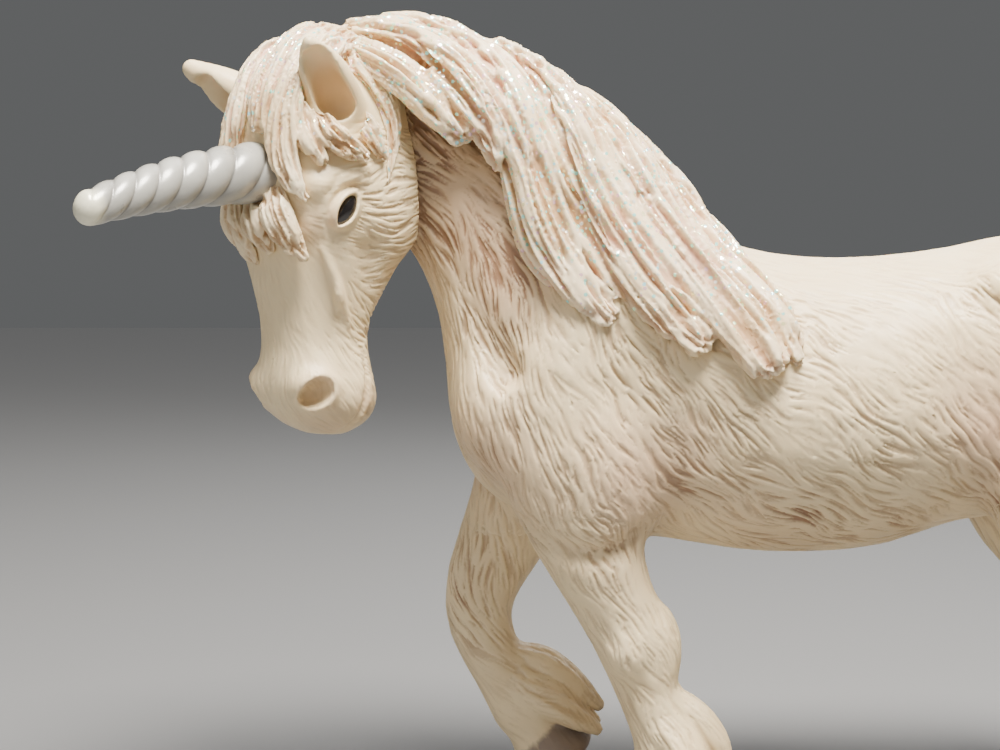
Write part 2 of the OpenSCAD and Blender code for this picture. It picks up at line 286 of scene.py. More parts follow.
# The middle of the eyes in the head's own frame, and how far the head is tucked.
EYES_IN_HEAD = np.array([-4.6, 0.0, -21.4])
HEAD_TUCK = math.radians(2.0)


def box_centre(node):
    low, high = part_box(node)
    return (np.array(low) + np.array(high)) / 2 / MM - ORIGIN


def head_frame():
    """Origin and axes, as rows, of the head's own frame: -X the face, -Y its left, +Z up."""
    left, right = box_centre("left_eye"), box_centre("right_eye")
    side = unit(right - left)
    back = np.cross(side, [0, 0, 1])
    x = back * math.cos(HEAD_TUCK) - np.array([0, 0, math.sin(HEAD_TUCK)])
    z = np.cross(x, side)
    axes = np.stack([x, side, z])
    return (left + right) / 2 - EYES_IN_HEAD @ axes, axes


HEAD_ORIGIN, HEAD_AXES = head_frame()


def from_head(p):
    return HEAD_ORIGIN + np.asarray(p, float) @ HEAD_AXES


# ---- Castings ---------------------------------------------------------------

def cad_mesh(node):
    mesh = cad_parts[node].data
    mesh.calc_loop_triangles()
    points = np.zeros(len(mesh.vertices) * 3, np.float32)
    mesh.vertices.foreach_get("co", points)
    triangles = np.zeros(len(mesh.loop_triangles) * 3, np.int32)
    mesh.loop_triangles.foreach_get("vertices", triangles)
    return points.reshape(-1, 3) / MM - ORIGIN, triangles.reshape(-1, 3)


# How far from a casting its distances are worked out: near the body, and near the head or hair.
BODY_BAND = 4.0
FINE_BAND = 3.0
LEGS = ("left_foreleg", "right_foreleg", "left_hind_leg", "right_hind_leg")
# Half the width of the hairline gap at a seam.
SEAM = 0.02
# Radius that the mould leaves in the corner between a leg and the body.
FILLET = 2.4
# How far the corner between the head and the neck is filled.
THROAT_BLEND = 1.4


def as_given(p):
    return np.asarray(p, float)


def on_skin(block, values, p):
    """The place on the skin nearest to p."""
    p = np.asarray(p, float)
    steps = np.eye(3) * block.voxel * 1.5
    for _ in range(4):
        around = np.concatenate([p[None], p + steps, p - steps])
        v = block.sample(values, around)
        slope = v[1:4] - v[4:7]
        p = p - v[0] * slope / max(np.linalg.norm(slope), 1e-6)
    return p


def add_crease(block, values, spots, radius, blend, place=as_given, carved=True):
    """Carves a line that follows the skin through some spots, or raises one. It thins at its ends."""
    path = smooth_path([(*place(p), 0.0) for p in spots], 1.0)[:, :3]
    path = [on_skin(block, values, p) for p in path]
    line = block.full()
    last = len(path) - 1
    taper = [radius * (0.35 + 0.65 * math.sin(math.pi * i / last)) for i in range(last + 1)]
    for a, b, ra, rb in zip(path, path[1:], taper, taper[1:]):
        cut, places = block.window((a + b) / 2, np.linalg.norm(b - a) / 2 + radius + 2)
        line[cut] = np.minimum(line[cut], rod(places, a, b, ra, rb))
    change = carve if carved else melt
    reach = max(np.linalg.norm(p - path[0]) for p in path) + FAR
    cut, _ = block.window((path[0] + path[-1]) / 2, reach)
    values[cut] = change(values[cut], line[cut], blend)


def add_clay(block, values, masses, place=as_given, axes=np.eye(3)):
    """Adds or carves rods and eggs, which are given in a piece's own frame."""
    for mass in masses:
        blend = mass["blend"]
        if "rod" in mass:
            a, b, radius_a, radius_b = mass["rod"]
            a, b = place(a), place(b)
            reach = np.linalg.norm(b - a) / 2 + max(radius_a, radius_b) + blend + 2
            cut, places = block.window((a + b) / 2, reach)
            shape = rod(places, a, b, radius_a, radius_b)
        else:
            centre, radii, turn = mass["egg"]
            cut, places = block.window(place(centre), max(radii) + blend + 2)
            shape = egg(places, place(centre), radii, np.asarray(turn) @ axes)
        if 0 in shape.shape:
            continue
        change = carve if mass.get("carve") else melt
        values[cut] = change(values[cut], shape, blend)


def both_sides(*masses):
    """The same masses on the left (-Y) and mirrored to the right."""
    result = []
    for mass in masses:
        mirrored = dict(mass)
        if "rod" in mass:
            a, b, radius_a, radius_b = mass["rod"]
            mirrored["rod"] = (flip(a), flip(b), radius_a, radius_b)
        else:
            centre, radii, turn = mass["egg"]
            mirrored["egg"] = (flip(centre), radii, [flip(row) for row in turn])
        result += [mass, mirrored]
    return result


def flip(p):
    return (p[0], -p[1], p[2])


def leaning(forward, outward):
    """Rows of an egg's axes: its first radius points along forward, its third along outward."""
    a = unit(forward)
    c = unit(np.asarray(outward, float) - np.dot(outward, a) * a)
    return np.stack([a, np.cross(c, a), c])


UPRIGHT = np.eye(3)


# ---- Hair grooves -------------------------------------------------------------

NOISE_SIDE = 192
# Blur of the noise, in cells. It is enough for a point to read only its nearest cell.
NOISE_BLUR = 2.0


def soft_noise(seed):
    """Smooth noise on a cube of cells that repeats."""
    noise = np.random.default_rng(seed).standard_normal((NOISE_SIDE,) * 3).astype(np.float32)
    reach = math.ceil(2.5 * NOISE_BLUR)
    for axis in range(3):
        total = np.zeros_like(noise)
        for i in range(-reach, reach + 1):
            total += np.float32(math.exp(-0.5 * (i / NOISE_BLUR) ** 2)) * np.roll(noise, i, axis)
        noise = total
    return noise / noise.std()


def noise_at(noise, points, blur):
    """Noise at points, blurred over a size in millimetres."""
    cells = np.floor(points * (NOISE_BLUR / blur)).astype(np.int64) % NOISE_SIDE
    return noise[cells[:, 0], cells[:, 1], cells[:, 2]]


def streaks(noise, points, directions, blur, reach):
    """Noise smeared along a direction at each point, as strands lie."""
    steps = math.ceil(reach / blur)
    total = np.zeros(len(points), np.float32)
    for i in range(-steps, steps + 1):
        weight = math.cos(i / (steps + 1) * math.pi / 2) ** 2
        total += weight * noise_at(noise, points + directions * (i * blur), blur)
    return total / total.std()


class Flow:
    """Lie of the hair in space, from control rows [x, y, z, dx, dy, dz] by way of a lattice."""

    def __init__(self, points, controls, cell=1.5, power=3.0):
        self.cell = cell
        self.start = points.min(0) - 3 * cell
        self.counts = np.ceil((points.max(0) - self.start) / cell).astype(int) + 4
        lattice = np.stack(np.meshgrid(*[np.arange(n) for n in self.counts], indexing="ij"), -1)
        lattice = lattice.reshape(-1, 3) * cell + self.start
        total = np.zeros_like(lattice)
        for row in np.asarray(controls, float):
            distance = np.linalg.norm(lattice - row[:3], axis=1) + 1.0
            total += unit(row[3:])[None, :] / distance[:, None] ** power
        total /= np.linalg.norm(total, axis=1)[:, None] + 1e-9
        self.ways = total.reshape(*self.counts, 3)

    def at(self, points):
        ways = between_cells(self.ways, (points - self.start) / self.cell)
        return ways / np.maximum(np.linalg.norm(ways, axis=1)[:, None], 1e-6)

    def folds(self, noise, points, blur, reach):
        """Noise smeared along the flow itself, which gives long folds."""
        steps = math.ceil(reach / blur)
        total = noise_at(noise, points, blur)
        for way in (1, -1):
            p = points.copy()
            for i in range(1, steps + 1):
                near = np.clip(np.round((p - self.start) / self.cell).astype(int), 0, self.counts - 1)
                p = p + (way * blur) * self.ways[near[:, 0], near[:, 1], near[:, 2]]
                total += math.cos(i / (steps + 1) * math.pi / 2) ** 2 * noise_at(noise, p, blur)
        return total / total.std()


def laid_flat(directions, normals):
    """Directions turned into the surface. They get short where the surface faces along them."""
    flat = directions - (directions * normals).sum(1)[:, None] * normals
    length = np.linalg.norm(flat, axis=1)[:, None]
    return flat / np.maximum(length, 0.35)


def swayed(points, directions, normals, noise, cell, angle):
    """Directions turned in the surface by slow noise, which makes the strands wavy."""
    turn = (noise_at(noise, points, cell) * angle)[:, None]
    return directions * np.cos(turn) + np.cross(normals, directions) * np.sin(turn)


# ---- Locks of hair ---------------------------------------------------------------

def smooth_path(rows, step):
    """Rows along a smooth curve through the given rows, about a step apart."""
    rows = np.asarray(rows, float)
    ends = [2 * rows[0] - rows[1], *rows, 2 * rows[-1] - rows[-2]]
    result = []
    for a, b, c, d in zip(ends, ends[1:], ends[2:], ends[3:]):
        count = max(2, round(np.linalg.norm(c[:3] - b[:3]) / step))
        cubic = 3 * (b - c) + d - a
        square = 2 * a - 5 * b + 4 * c - d
        for t in np.arange(count) / count:
            result.append(b + 0.5 * t * (c - a + t * (square + t * cubic)))
    return np.array(result + [rows[-1]])


def away_from(axis):
    """A function that points away from a line through the middle of what the hair grows on."""
    line = np.asarray(axis, float)

    def outward(p):
        best, gap = None, 1e9
        for a, b in zip(line, line[1:]):
            t = np.clip((p - a) @ (b - a) / ((b - a) @ (b - a)), 0, 1)
            across = p - (a + t * (b - a))
            if np.linalg.norm(across) < gap:
                best, gap = across, np.linalg.norm(across)
        return unit(best)
    return outward


def add_lock(block, values, rows, outward, ridges=3, depth=0.3, place=None, blend=0.5):
    """Adds a flat tapered lock with ridges along it. Rows are [x, y, z, half width, half depth]."""
    path = smooth_path(rows, 1.0)
    if place is not None:
        path[:, :3] = place(path[:, :3])
    middles = path[:, :3]
    tangents = np.gradient(middles, axis=0)
    tangents /= np.linalg.norm(tangents, axis=1)[:, None]
    outs = np.array([outward(p) for p in middles])
    outs -= (outs * tangents).sum(1)[:, None] * tangents
    outs /= np.linalg.norm(outs, axis=1)[:, None]
    sides = np.cross(tangents, outs)
    low, high = middles.min(0), middles.max(0)
    reach = path[:, 3].max() + 1.5
    cut, places = block.window((low + high) / 2, (high - low) / 2 + reach)
    if 0 in places.shape:
        return
    start = [s.start for s in cut]
    shape = np.full(places.shape[:3], FAR, np.float32)
    for k in range(len(path) - 1):
        a, b = middles[k], middles[k + 1]
        near, spots = block.window((a + b) / 2, np.abs(b - a) / 2 + max(path[k, 3:5]) + 1.2)
        if 0 in spots.shape:
            continue
        along = b - a
        length = np.linalg.norm(along)
        s = ((spots - a) @ along) / length
        t = np.clip(s / length, 0, 1)
        over = s - t * length
        offset = spots - (a + t[..., None] * along)
        out = outs[k] + t[..., None] * (outs[k + 1] - outs[k])
        side = sides[k] + t[..., None] * (sides[k + 1] - sides[k])
        wide = path[k, 3] + t * (path[k + 1, 3] - path[k, 3])
        deep = path[k, 4] + t * (path[k + 1, 4] - path[k, 4])
        u, w = (offset * side).sum(-1), (offset * out).sum(-1)
        k0 = np.sqrt((u / wide) ** 2 + (w / deep) ** 2 + (over / deep) ** 2)
        k1 = np.sqrt((u / wide ** 2) ** 2 + (w / deep ** 2) ** 2 + (over / deep ** 2) ** 2) + 1e-4
        part = k0 * (k0 - 1) / k1
        sway = 0.07 * math.sin(0.3 * k + rows[0][0])
        wave = np.abs(np.sin(math.pi * ridges * (u / wide + 1 + sway) / 2))
        part -= depth * np.minimum(1, deep / 1.3) * (wave ** 0.75 - 0.6)
        inner = shape[tuple(slice(n.start - c, n.stop - c) for n, c in zip(near, start))]
        np.minimum(inner, part, out=inner)
    values[cut] = melt(values[cut], shape, blend)


def lock_controls(locks, place=None):
    """Control rows for the lie of hair along locks."""
    controls = []
    for rows in locks:
        path = smooth_path(rows, 3.0)
        middles = path[:, :3] if place is None else place(path[:, :3])
        controls += [(*p, *d) for p, d in zip(middles, np.gradient(middles, axis=0))]
    return controls


# ---- Meshes ---------------------------------------------------------------------

def without_crumbs(points, quads, least=0.01):
    """Drops loose bits that hold only a small share of the points."""
    label = np.arange(len(points))
    a, b = quads[:, [0, 1, 2, 3]].ravel(), quads[:, [1, 2, 3, 0]].ravel()
    while True:
        lower = label.copy()
        np.minimum.at(lower, a, label[b])
        np.minimum.at(lower, b, label[a])
        for _ in range(4):
            lower = lower[lower]
        if (lower == label).all():
            break
        label = lower
    kept = np.bincount(label, minlength=len(points))[label] > least * len(points)
    index = np.cumsum(kept) - 1
    return points[kept], index[quads[kept[quads[:, 0]]]]


def gathered(index, values, count):
    """The average of the values that fall on each index."""
    sums = [np.bincount(index, column, count) for column in values.T]
    return np.stack(sums, 1) / np.bincount(index, minlength=count)[:, None]


def normals_of(points, quads):
    corners = points[quads]
    facing = np.cross(corners[:, 2] - corners[:, 0], corners[:, 3] - corners[:, 1])
    total = gathered(quads.ravel(), np.repeat(facing, 4, axis=0), len(points))
    return total / np.maximum(np.linalg.norm(total, axis=1)[:, None], 1e-12)


def finer(rows, quads):
    """Splits each quad in four and smooths the values at its corners, as Catmull and Clark do."""
    count = len(rows)
    faces = rows[quads].mean(1)
    ends = np.sort(np.stack([quads, np.roll(quads, -1, axis=1)], -1).reshape(-1, 2), axis=1)
    keys, edge_of = np.unique(ends[:, 0] * count + ends[:, 1], return_inverse=True)
    ends = np.stack([keys // count, keys % count], 1)
    edges = rows[ends].mean(1)
    edge_rows = (edges + gathered(edge_of, np.repeat(faces, 4, axis=0), len(keys))) / 2
    around = gathered(quads.ravel(), np.repeat(faces, 4, axis=0), count)
    beside = gathered(ends.ravel(), np.repeat(edges, 2, axis=0), count)
    valence = np.bincount(quads.ravel(), minlength=count)[:, None]
    corner_rows = (around + 2 * beside + (valence - 3) * rows) / valence
    edge_of = edge_of.reshape(-1, 4) + count
    face_of = np.arange(len(quads)) + count + len(keys)
    parts = [np.stack([quads[:, i], edge_of[:, i], face_of, edge_of[:, i - 1]], 1) for i in range(4)]
    return np.concatenate([corner_rows, edge_rows, faces]), np.concatenate(parts)


def finer_mesh(name, points, quads, cavity):
    """A smooth mesh twice as fine as its quads, with its cavities marked."""
    rows, quads = finer(np.column_stack([points, cavity]), quads)
    piece = new_mesh(name, rows[:, :3], quads)
    set_values(piece, "cavity", rows[:, 3])
    return piece


def new_mesh(name, points, faces):
    mesh = bpy.data.meshes.new(name)
    mesh.vertices.add(len(points))
    mesh.vertices.foreach_set("co", to_metres(points).astype(np.float32).ravel())
    corners = faces.shape[1]
    mesh.loops.add(faces.size)
    mesh.loops.foreach_set("vertex_index", faces.astype(np.int32).ravel())
    mesh.polygons.add(len(faces))
    mesh.polygons.foreach_set("loop_start", np.arange(0, faces.size, corners, dtype=np.int32))
    mesh.update()
    mesh.validate()
    return smooth_piece(mesh)


def smooth_piece(mesh):
    mesh.shade_smooth()
    piece = bpy.data.objects.new(mesh.name, mesh)
    bpy.context.scene.collection.objects.link(piece)
    return piece


def ringed_mesh(name, rings, first, last):
    """A smooth closed mesh through rings of points, with one more point at each end."""
    count, sides = rings.shape[:2]
    faces = []
    for j in range(sides):
        k = (j + 1) % sides
        for i in range(count - 1):
            row, above = i * sides, (i + 1) * sides
            faces.append((row + j, row + k, above + k, above + j))
        faces.append((count * sides, k, j))
        faces.append((count * sides + 1, (count - 1) * sides + j, (count - 1) * sides + k))
    mesh = bpy.data.meshes.new(name)
    points = np.concatenate([rings.reshape(-1, 3), [first, last]])
    mesh.from_pydata(to_metres(points).tolist(), [], faces)
    mesh.update()
    return smooth_piece(mesh)


def surface_of(piece):
    """Points and normals of a piece, in the figure's frame."""
    mesh = piece.data
    points = np.zeros(len(mesh.vertices) * 3, np.float32)
    normals = np.zeros(len(mesh.vertices) * 3, np.float32)
    mesh.vertices.foreach_get("co", points)
    mesh.vertex_normals.foreach_get("vector", normals)
    return points.reshape(-1, 3) / MM - ORIGIN, normals.reshape(-1, 3).astype(float)


def move_points(piece, points):
    piece.data.vertices.foreach_set("co", to_metres(points).astype(np.float32).ravel())
    piece.data.update()


def set_values(piece, name, values):
    attribute = piece.data.attributes.get(name) or piece.data.attributes.new(name, "FLOAT", "POINT")
    attribute.data.foreach_set("value", np.asarray(values, np.float32))


def stands_for(piece, node, material):
    piece.data.materials.clear()
    piece.data.materials.append(material)
    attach(piece, "root")
    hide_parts(node)


def cavities(block, soft, points, span):
    """How far points lie below a blurred skin, for the darkening there, which is partly thin paint and
    partly painted shade.
    """
    return np.clip(-block.sample(soft, points) / span, 0, 1)


def thinned(piece, most):
    """Merges the flattest triangles until there are only so many, so that the grooves keep theirs."""
    triangles = len(piece.data.loops) - 2 * len(piece.data.polygons)
    if triangles <= most:
        return
    modifier = piece.modifiers.new("thinning", "DECIMATE")
    modifier.ratio = most / triangles
    graph = bpy.context.evaluated_depsgraph_get()
    mesh = bpy.data.meshes.new_from_object(piece.evaluated_get(graph))
    piece.modifiers.clear()
    old = piece.data
    piece.data = mesh
    bpy.data.meshes.remove(old)
    mesh.shade_smooth()


# ---- Materials -----------------------------------------------------------------

class Shader:
    """A small helper that adds nodes to a material and joins them up."""

    def __init__(self, name):
        self.material = bpy.data.materials.new(name)
        self.material.use_nodes = True
        self.tree = self.material.node_tree
        self.surface = self.tree.nodes["Principled BSDF"]

    def add(self, kind, inputs=None, **settings):
        node = self.tree.nodes.new(kind)
        for key, value in settings.items():
            setattr(node, key, value)
        for key, value in (inputs or {}).items():
            self.put(node.inputs[key], value)
        return node

    def put(self, socket, value):
        if isinstance(value, bpy.types.NodeSocket):
            self.tree.links.new(value, socket)
        else:
            socket.default_value = value

    def noise(self, scale, detail=2.0, distortion=0.0):
        place = self.add("ShaderNodeTexCoord").outputs["Object"]
        return self.add("ShaderNodeTexNoise", {"Vector": place, "Scale": scale, "Detail": detail,
                                               "Distortion": distortion}).outputs["Fac"]

    def value(self, name):
        return self.add("ShaderNodeAttribute", attribute_name=name).outputs["Fac"]

    def maths(self, operation, a, b=0.0, clamp=False):
        node = self.add("ShaderNodeMath", operation=operation, use_clamp=clamp)
        self.put(node.inputs[0], a)
        self.put(node.inputs[1], b)
        return node.outputs[0]

    def span(self, value, low, high, to_low=0.0, to_high=1.0):
        return self.add("ShaderNodeMapRange", {"Value": value, "From Min": low, "From Max": high,
                                               "To Min": to_low, "To Max": to_high}).outputs[0]

    def mix(self, amount, a, b, blend="MIX"):
        node = self.add("ShaderNodeMix", data_type="RGBA", blend_type=blend)
        self.put(node.inputs["Factor"], amount)
        self.put(node.inputs[6], a)
        self.put(node.inputs[7], b)
        return node.outputs[2]

    def mix_values(self, amount, a, b):
        node = self.add("ShaderNodeMix", data_type="FLOAT")
        self.put(node.inputs["Factor"], amount)
        self.put(node.inputs[2], a)
        self.put(node.inputs[3], b)
        return node.outputs[0]

    def patches(self, scale, low, high, detail=2.0):
        """A value that varies in soft patches between two ends."""
        return self.span(self.noise(scale, detail), 0.3, 0.7, low, high)

    def shade(self, inputs):
        """Sets inputs of the surface, to constants or to other nodes' outputs."""
        for key, value in inputs.items():
            self.put(self.surface.inputs[key], value)
        return self.material

    def bump(self, height, strength, distance):
        return self.add("ShaderNodeBump", {"Height": height, "Strength": strength,
                                           "Distance": distance}).outputs["Normal"]


# Light passes a little way into the vinyl. The scale is in metres.
VINYL_GLOW = {"Subsurface Radius": (1.0, 0.7, 0.45), "Subsurface Scale": 0.0012}
IVORY = (0.80, 0.62, 0.35, 1)
IVORY_LIGHT = (0.87, 0.71, 0.44, 1)
# Brown for the hollows, grooves and shaded spots: partly thin brown paint, partly painted shade.
BROWN_WASH_AND_SHADE = (0.30, 0.165, 0.085, 1)
PINK_PAINT_AND_SHADE = (0.62, 0.36, 0.24, 1)
OCHRE_PAINT_AND_SHADE = (0.60, 0.36, 0.15, 1)
HOOF_DARK = (0.20, 0.14, 0.10, 1)
HOOF_LIGHT = (0.30, 0.23, 0.17, 1)


def vinyl_material():
    """Satin ivory vinyl, brown in the hollows and grooves and pinkish on the throat, armpits and flanks,
    partly from thin paint and partly as painted shade.
    """
    s = Shader("ivory_vinyl")
    base = s.mix(s.noise(120.0, 3.0), IVORY, IVORY_LIGHT)
    # Pink on the throat, armpits and flanks is partly paint and partly painted shade.
    pink = s.maths("MULTIPLY", s.value("blush"), s.patches(70.0, 0.35, 1.0, 3.0), True)
    base = s.mix(pink, base, PINK_PAINT_AND_SHADE)
    # Brown in the hollows, the grooves and the spots is partly thin paint and partly painted shade.
    brown = s.value("brown")
    strength = s.maths("ADD", s.maths("MULTIPLY", brown, 1.2), 1.0)
    wash_and_shade = s.maths("MULTIPLY", s.value("hollow"), strength)
    wash_and_shade = s.maths("ADD", wash_and_shade, s.maths("MULTIPLY", s.value("cavity"), 0.6))
    wash_and_shade = s.maths("ADD", wash_and_shade, s.maths("MULTIPLY", brown, 0.45))
    wash_and_shade = s.maths("MULTIPLY", wash_and_shade, s.patches(45.0, 0.6, 1.0), True)
    base = s.mix(wash_and_shade, base, BROWN_WASH_AND_SHADE)
    # Ochre in the ear hollows is partly paint and partly painted shade.
    base = s.mix(s.maths("MULTIPLY", s.value("ochre"), 0.8), base, OCHRE_PAINT_AND_SHADE)
    base = s.mix(s.value("hoof"), base, s.mix(s.noise(60.0, 3.0, 1.0), HOOF_DARK, HOOF_LIGHT))
    return s.shade({"Base Color": base, "Roughness": s.patches(300.0, 0.40, 0.54),
                    "Normal": s.bump(s.noise(2600.0, 3.0), 0.25, 0.00006),
                    "Subsurface Weight": 0.12, **VINYL_GLOW})


# ---- Body ------------------------------------------------------------------------

# Lie of the hair: [x, z, dx, dz] on both sides of the body, this far from its middle.
FLANK_Y = 12
BODY_HAIR = [
    (-32, 92, 0.8, -0.6), (-27, 84, 0.75, -0.66), (-25, 74, 0.55, -0.83), (-27, 62, 0.35, -0.94),
    (-22, 50, 0.35, -0.94), (-18, 88, 0.7, -0.7), (-14, 72, 0.5, -0.86), (-12, 58, 0.38, -0.92),
    (-8, 46, 0.42, -0.9), (0, 66, 0.62, -0.78), (2, 50, 0.7, -0.7), (12, 60, 0.76, -0.65),
    (24, 60, 0.8, -0.6), (36, 58, 0.8, -0.6), (14, 43, 0.88, -0.46), (32, 44, 0.86, -0.5),
    (20, 74, 0.9, -0.4), (44, 70, 0.8, -0.6), (56, 70, 0.62, -0.78), (60, 58, 0.5, -0.86),
    (48, 52, 0.66, -0.75), (56, 46, 0.5, -0.86)
]
# Lie of the hair down each leg: [x, y, z, dx, dz].
LEG_HAIR = [
    (-8, -9, 36, 0.4, -0.92), (-4, -9, 28, 0.42, -0.9), (0, -8, 16, 0.2, -0.98),
    (3, -8, 8, 0.3, -0.95), (-19, 9, 38, -0.42, -0.9), (-23, 9, 28, -0.1, -1.0),
    (-20, 8, 17, 0.55, -0.83), (-14, 8, 8, 0.4, -0.9),
    (60, -11, 36, 0.5, -0.86), (68, -10, 25, 0.45, -0.9), (73, -10, 12, 0.3, -0.95),
    (58, 11, 36, 0.45, -0.9), (64, 10, 24, 0.2, -0.98), (63, 10, 12, 0.1, -1.0)
]

OUT = (0, -1, 0)
BODY_CLAY = both_sides(
    # Breast, upper arm and elbow.
    dict(egg=((-20, -8.5, 56), (6, 5, 8), UPRIGHT), blend=4.0),
    dict(egg=((-7, -11.5, 50), (11, 8, 5.6), leaning((0.25, 0, -1), OUT)), blend=3.5),
    # Shoulder blade.
    dict(egg=((-8, -12.5, 68), (13, 6, 4), leaning((0.5, 0, 1), OUT)), blend=4.0),
    # Hollow behind the elbow and in the flank.
    dict(egg=((4.5, -20.6, 50), (3.4, 9, 3.0), leaning((1, 0, 0), OUT)), blend=4.0, carve=True),
    dict(egg=((42, -22.4, 60), (6, 10, 4.4), leaning((1, 0, 0.3), OUT)), blend=5.0, carve=True),
    # Haunch and point of the hip.
    dict(egg=((56, -9.5, 61), (9, 12, 8), leaning((1, 0, 0), OUT)), blend=4.0),
    dict(egg=((47, -12, 73), (5, 3.5, 3), UPRIGHT), blend=3.0),
) + [
    # Groove of the throat along the near side of the neck.
    dict(rod=((-31, -9.5, 80), (-20, -13.5, 62), 1.4, 1.8), blend=2.5, carve=True),
    # Knee of the standing foreleg, and the hollows above and below it.
    dict(egg=((-3.8, -11.0, 24.5), (2.4, 2.6, 3.4), UPRIGHT), blend=2.0),
    dict(egg=((1.0, -8.6, 24.6), (2.0, 2.6, 4.6), UPRIGHT), blend=3.0),
    dict(egg=((6.8, -8.0, 18.2), (2.2, 5.0, 3.4), UPRIGHT), blend=3.5, carve=True),
    dict(egg=((-7.2, -14.6, 17.8), (2.6, 3.0, 4.4), UPRIGHT), blend=2.5, carve=True),
]

# The lower edge of each upper arm's muscle.
ARM_CREASES = [
    [(-17, -12, 42), (-12, -14, 39), (-6.5, -15, 38), (-1.5, -14, 41)],
    [(-22, 13, 44), (-17, 15, 40), (-12, 14, 40)]
]

# Fetlocks of the standing legs, and the slope from the sole of the raised hoof to its coronet.
FETLOCKS = {"left_foreleg": (2.6, -7.8), "left_hind_leg": (73.2, -10.0), "right_hind_leg": (63.2, 10.0)}
RAISED_HOOF = (-10.8, 8.3, 4.03)
RAISED_HOOF_UP = (-0.695, 0.0, 0.719)
HOOF_HEIGHT = 6.2


# Locks of the feather, as [forward of the fetlock, out from its middle, up, half width, half depth].
FEATHER_BACK = [
    (-0.4, 0, 17.6, 2.4, 1.8), (3.2, 0, 14.6, 3.2, 2.2), (5.8, 0, 11.2, 3.2, 2.0),
    (7.2, 0, 7.6, 1.6, 1.0)
]
FEATHER_SIDE = [
    (-0.6, 3.2, 14.0, 2.2, 1.4), (1.8, 4.3, 10.8, 2.6, 1.5), (4.0, 4.4, 7.6, 2.2, 1.3),
    (5.0, 4.2, 4.8, 1.0, 0.7)
]
# The same for the raised foreleg, whose fetlock is tipped up.
RAISED_Y = 8.3
RAISED_BACK = [
    (-18.4, 0, 19.5, 2.4, 2.0), (-14.4, 0, 18.4, 3.4, 2.4), (-10.2, 0, 15.6, 3.2, 2.0),
    (-6.6, 0, 12.6, 1.6, 1.0)
]
RAISED_SIDE = [
    (-17.6, 2.9, 16.0, 2.4, 1.6), (-13.8, 3.7, 14.2, 2.8, 1.8), (-9.8, 3.3, 11.8, 2.4, 1.4),
    (-6.8, 2.5, 9.6, 1.1, 0.8)
]


def feather_locks():
    """Locks of long hair behind each fetlock: [ridges, rows]."""
    locks = []
    feathers = [(0, RAISED_Y, RAISED_BACK, RAISED_SIDE)]
    feathers += [(x, y, FEATHER_BACK, FEATHER_SIDE) for x, y in FETLOCKS.values()]
    for x, y, back, beside in feathers:
        for ridges, side, rows in ((4, 1, back), (3, -1, beside), (3, 1, beside)):
            placed = [(x + a, y + side * b, z, wide, deep) for a, b, z, wide, deep in rows]
            locks.append((ridges, placed))
    return locks


LEG_LINES = {
    "left_foreleg": [(-9, -9.6, 40), (-0.4, -8, 18), (2.2, -7.8, 4)],
    "right_foreleg": [(-18.5, 9.8, 40), (-23.4, 8.6, 24), (-16.8, 8.3, 12.8), (-14.0, 8.3, 6)],
    "left_hind_leg": [(56.8, -11.4, 40), (71.4, -10.2, 17), (72.2, -10, 4)],
    "right_hind_leg": [(56.4, 11.4, 40), (63.4, 10.2, 17), (61.6, 10, 4)]
}


def outward_of_legs(p):
    """Away from the nearest leg's middle."""
    ways = [(np.linalg.norm(np.asarray(line)[:, :2] - p[:2], axis=1).min(), line)
            for line in LEG_LINES.values()]
    return away_from(min(ways, key=lambda way: way[0])[1])(p)


HOOF_SPOTS = [(0.4, -7.8, 0), (70.0, -10.0, 0), (59.4, 10.0, 0)]
HOOF_REACH = 6.3


def hoof_mask(points):
    """1 on the hooves, which are painted, and 0 on the feathers round them."""
    mask = np.zeros(len(points))
    for spot, up in [(spot, (0, 0, 1)) for spot in HOOF_SPOTS] + [(RAISED_HOOF, RAISED_HOOF_UP)]:
        offset = points - np.array(spot)
        height = offset @ np.array(up)
        out = np.linalg.norm(offset - height[:, None] * np.array(up), axis=1)
        below = np.clip((HOOF_HEIGHT - height) / 0.4 + 0.5, 0, 1)
        mask = np.maximum(mask, below * np.clip((HOOF_REACH - out) / 0.3, 0, 1))
    return mask


# Where the colour turns pink: [x, y, z, reach, strength], with y on the left side. It is partly pink
# paint and partly painted shade in the throat, armpits and flanks.
BLUSH = [
    (-22, -10, 50, 9, 0.55), (-3, -14, 49, 8, 0.75), (3, -16, 52, 6, 0.5), (-25, -7, 82, 9, 0.8),
    (-20, -10, 76, 9, 0.6), (44, -16, 56, 8, 0.8), (46, -16, 50, 6, 0.6), (-15, -12, 48, 9, 0.3),
    (8, -18, 44, 8, 0.3), (-30, -6, 92, 8, 0.6), (-4, -10, 36, 5, 0.2)
]


# Where the hair turns brown: [x, y, z, reach, strength]. It is partly brown paint and partly painted
# shade, most of all under the mane, on the belly and on the raised foreleg.
BROWN = [
    (-29, -8, 86, 9, 0.8), (-24.6, -9.6, 79, 7, 1.0), (-20, -11.5, 76, 7, 1.0), (-28, -7, 92, 7, 0.8),
    (-18, -13, 69, 5, 0.5), (-22, -9, 51, 6, 0.6), (-12, -8.3, 13, 7, 1.0), (-19, -8.3, 21, 8, 0.6),
    (-24, -6, 30, 8, 0.5), (4, -14, 45, 5, 0.5), (18, -10, 38, 9, 0.85), (32, -9, 38, 9, 0.85),
    (46, -13, 46, 7, 0.6), (8, -7.8, 10, 5, 0.5), (74, -10, 9, 6, 0.5), (65, -10, 9, 6, 0.5),
    (-2, -11, 40, 4, 0.4)
]


def blush_at(points, spots):
    total = np.zeros(len(points))
    for x, y, z, reach, strength in spots:
        near = (points[:, 0] - x) ** 2 + (np.abs(points[:, 1]) + y) ** 2 + (points[:, 2] - z) ** 2
        total = np.maximum(total, strength * np.exp(-near / reach ** 2))
    return total


GROOVE_DEPTH = 0.22
NOISE, SLOW_NOISE = soft_noise(3), soft_noise(5)


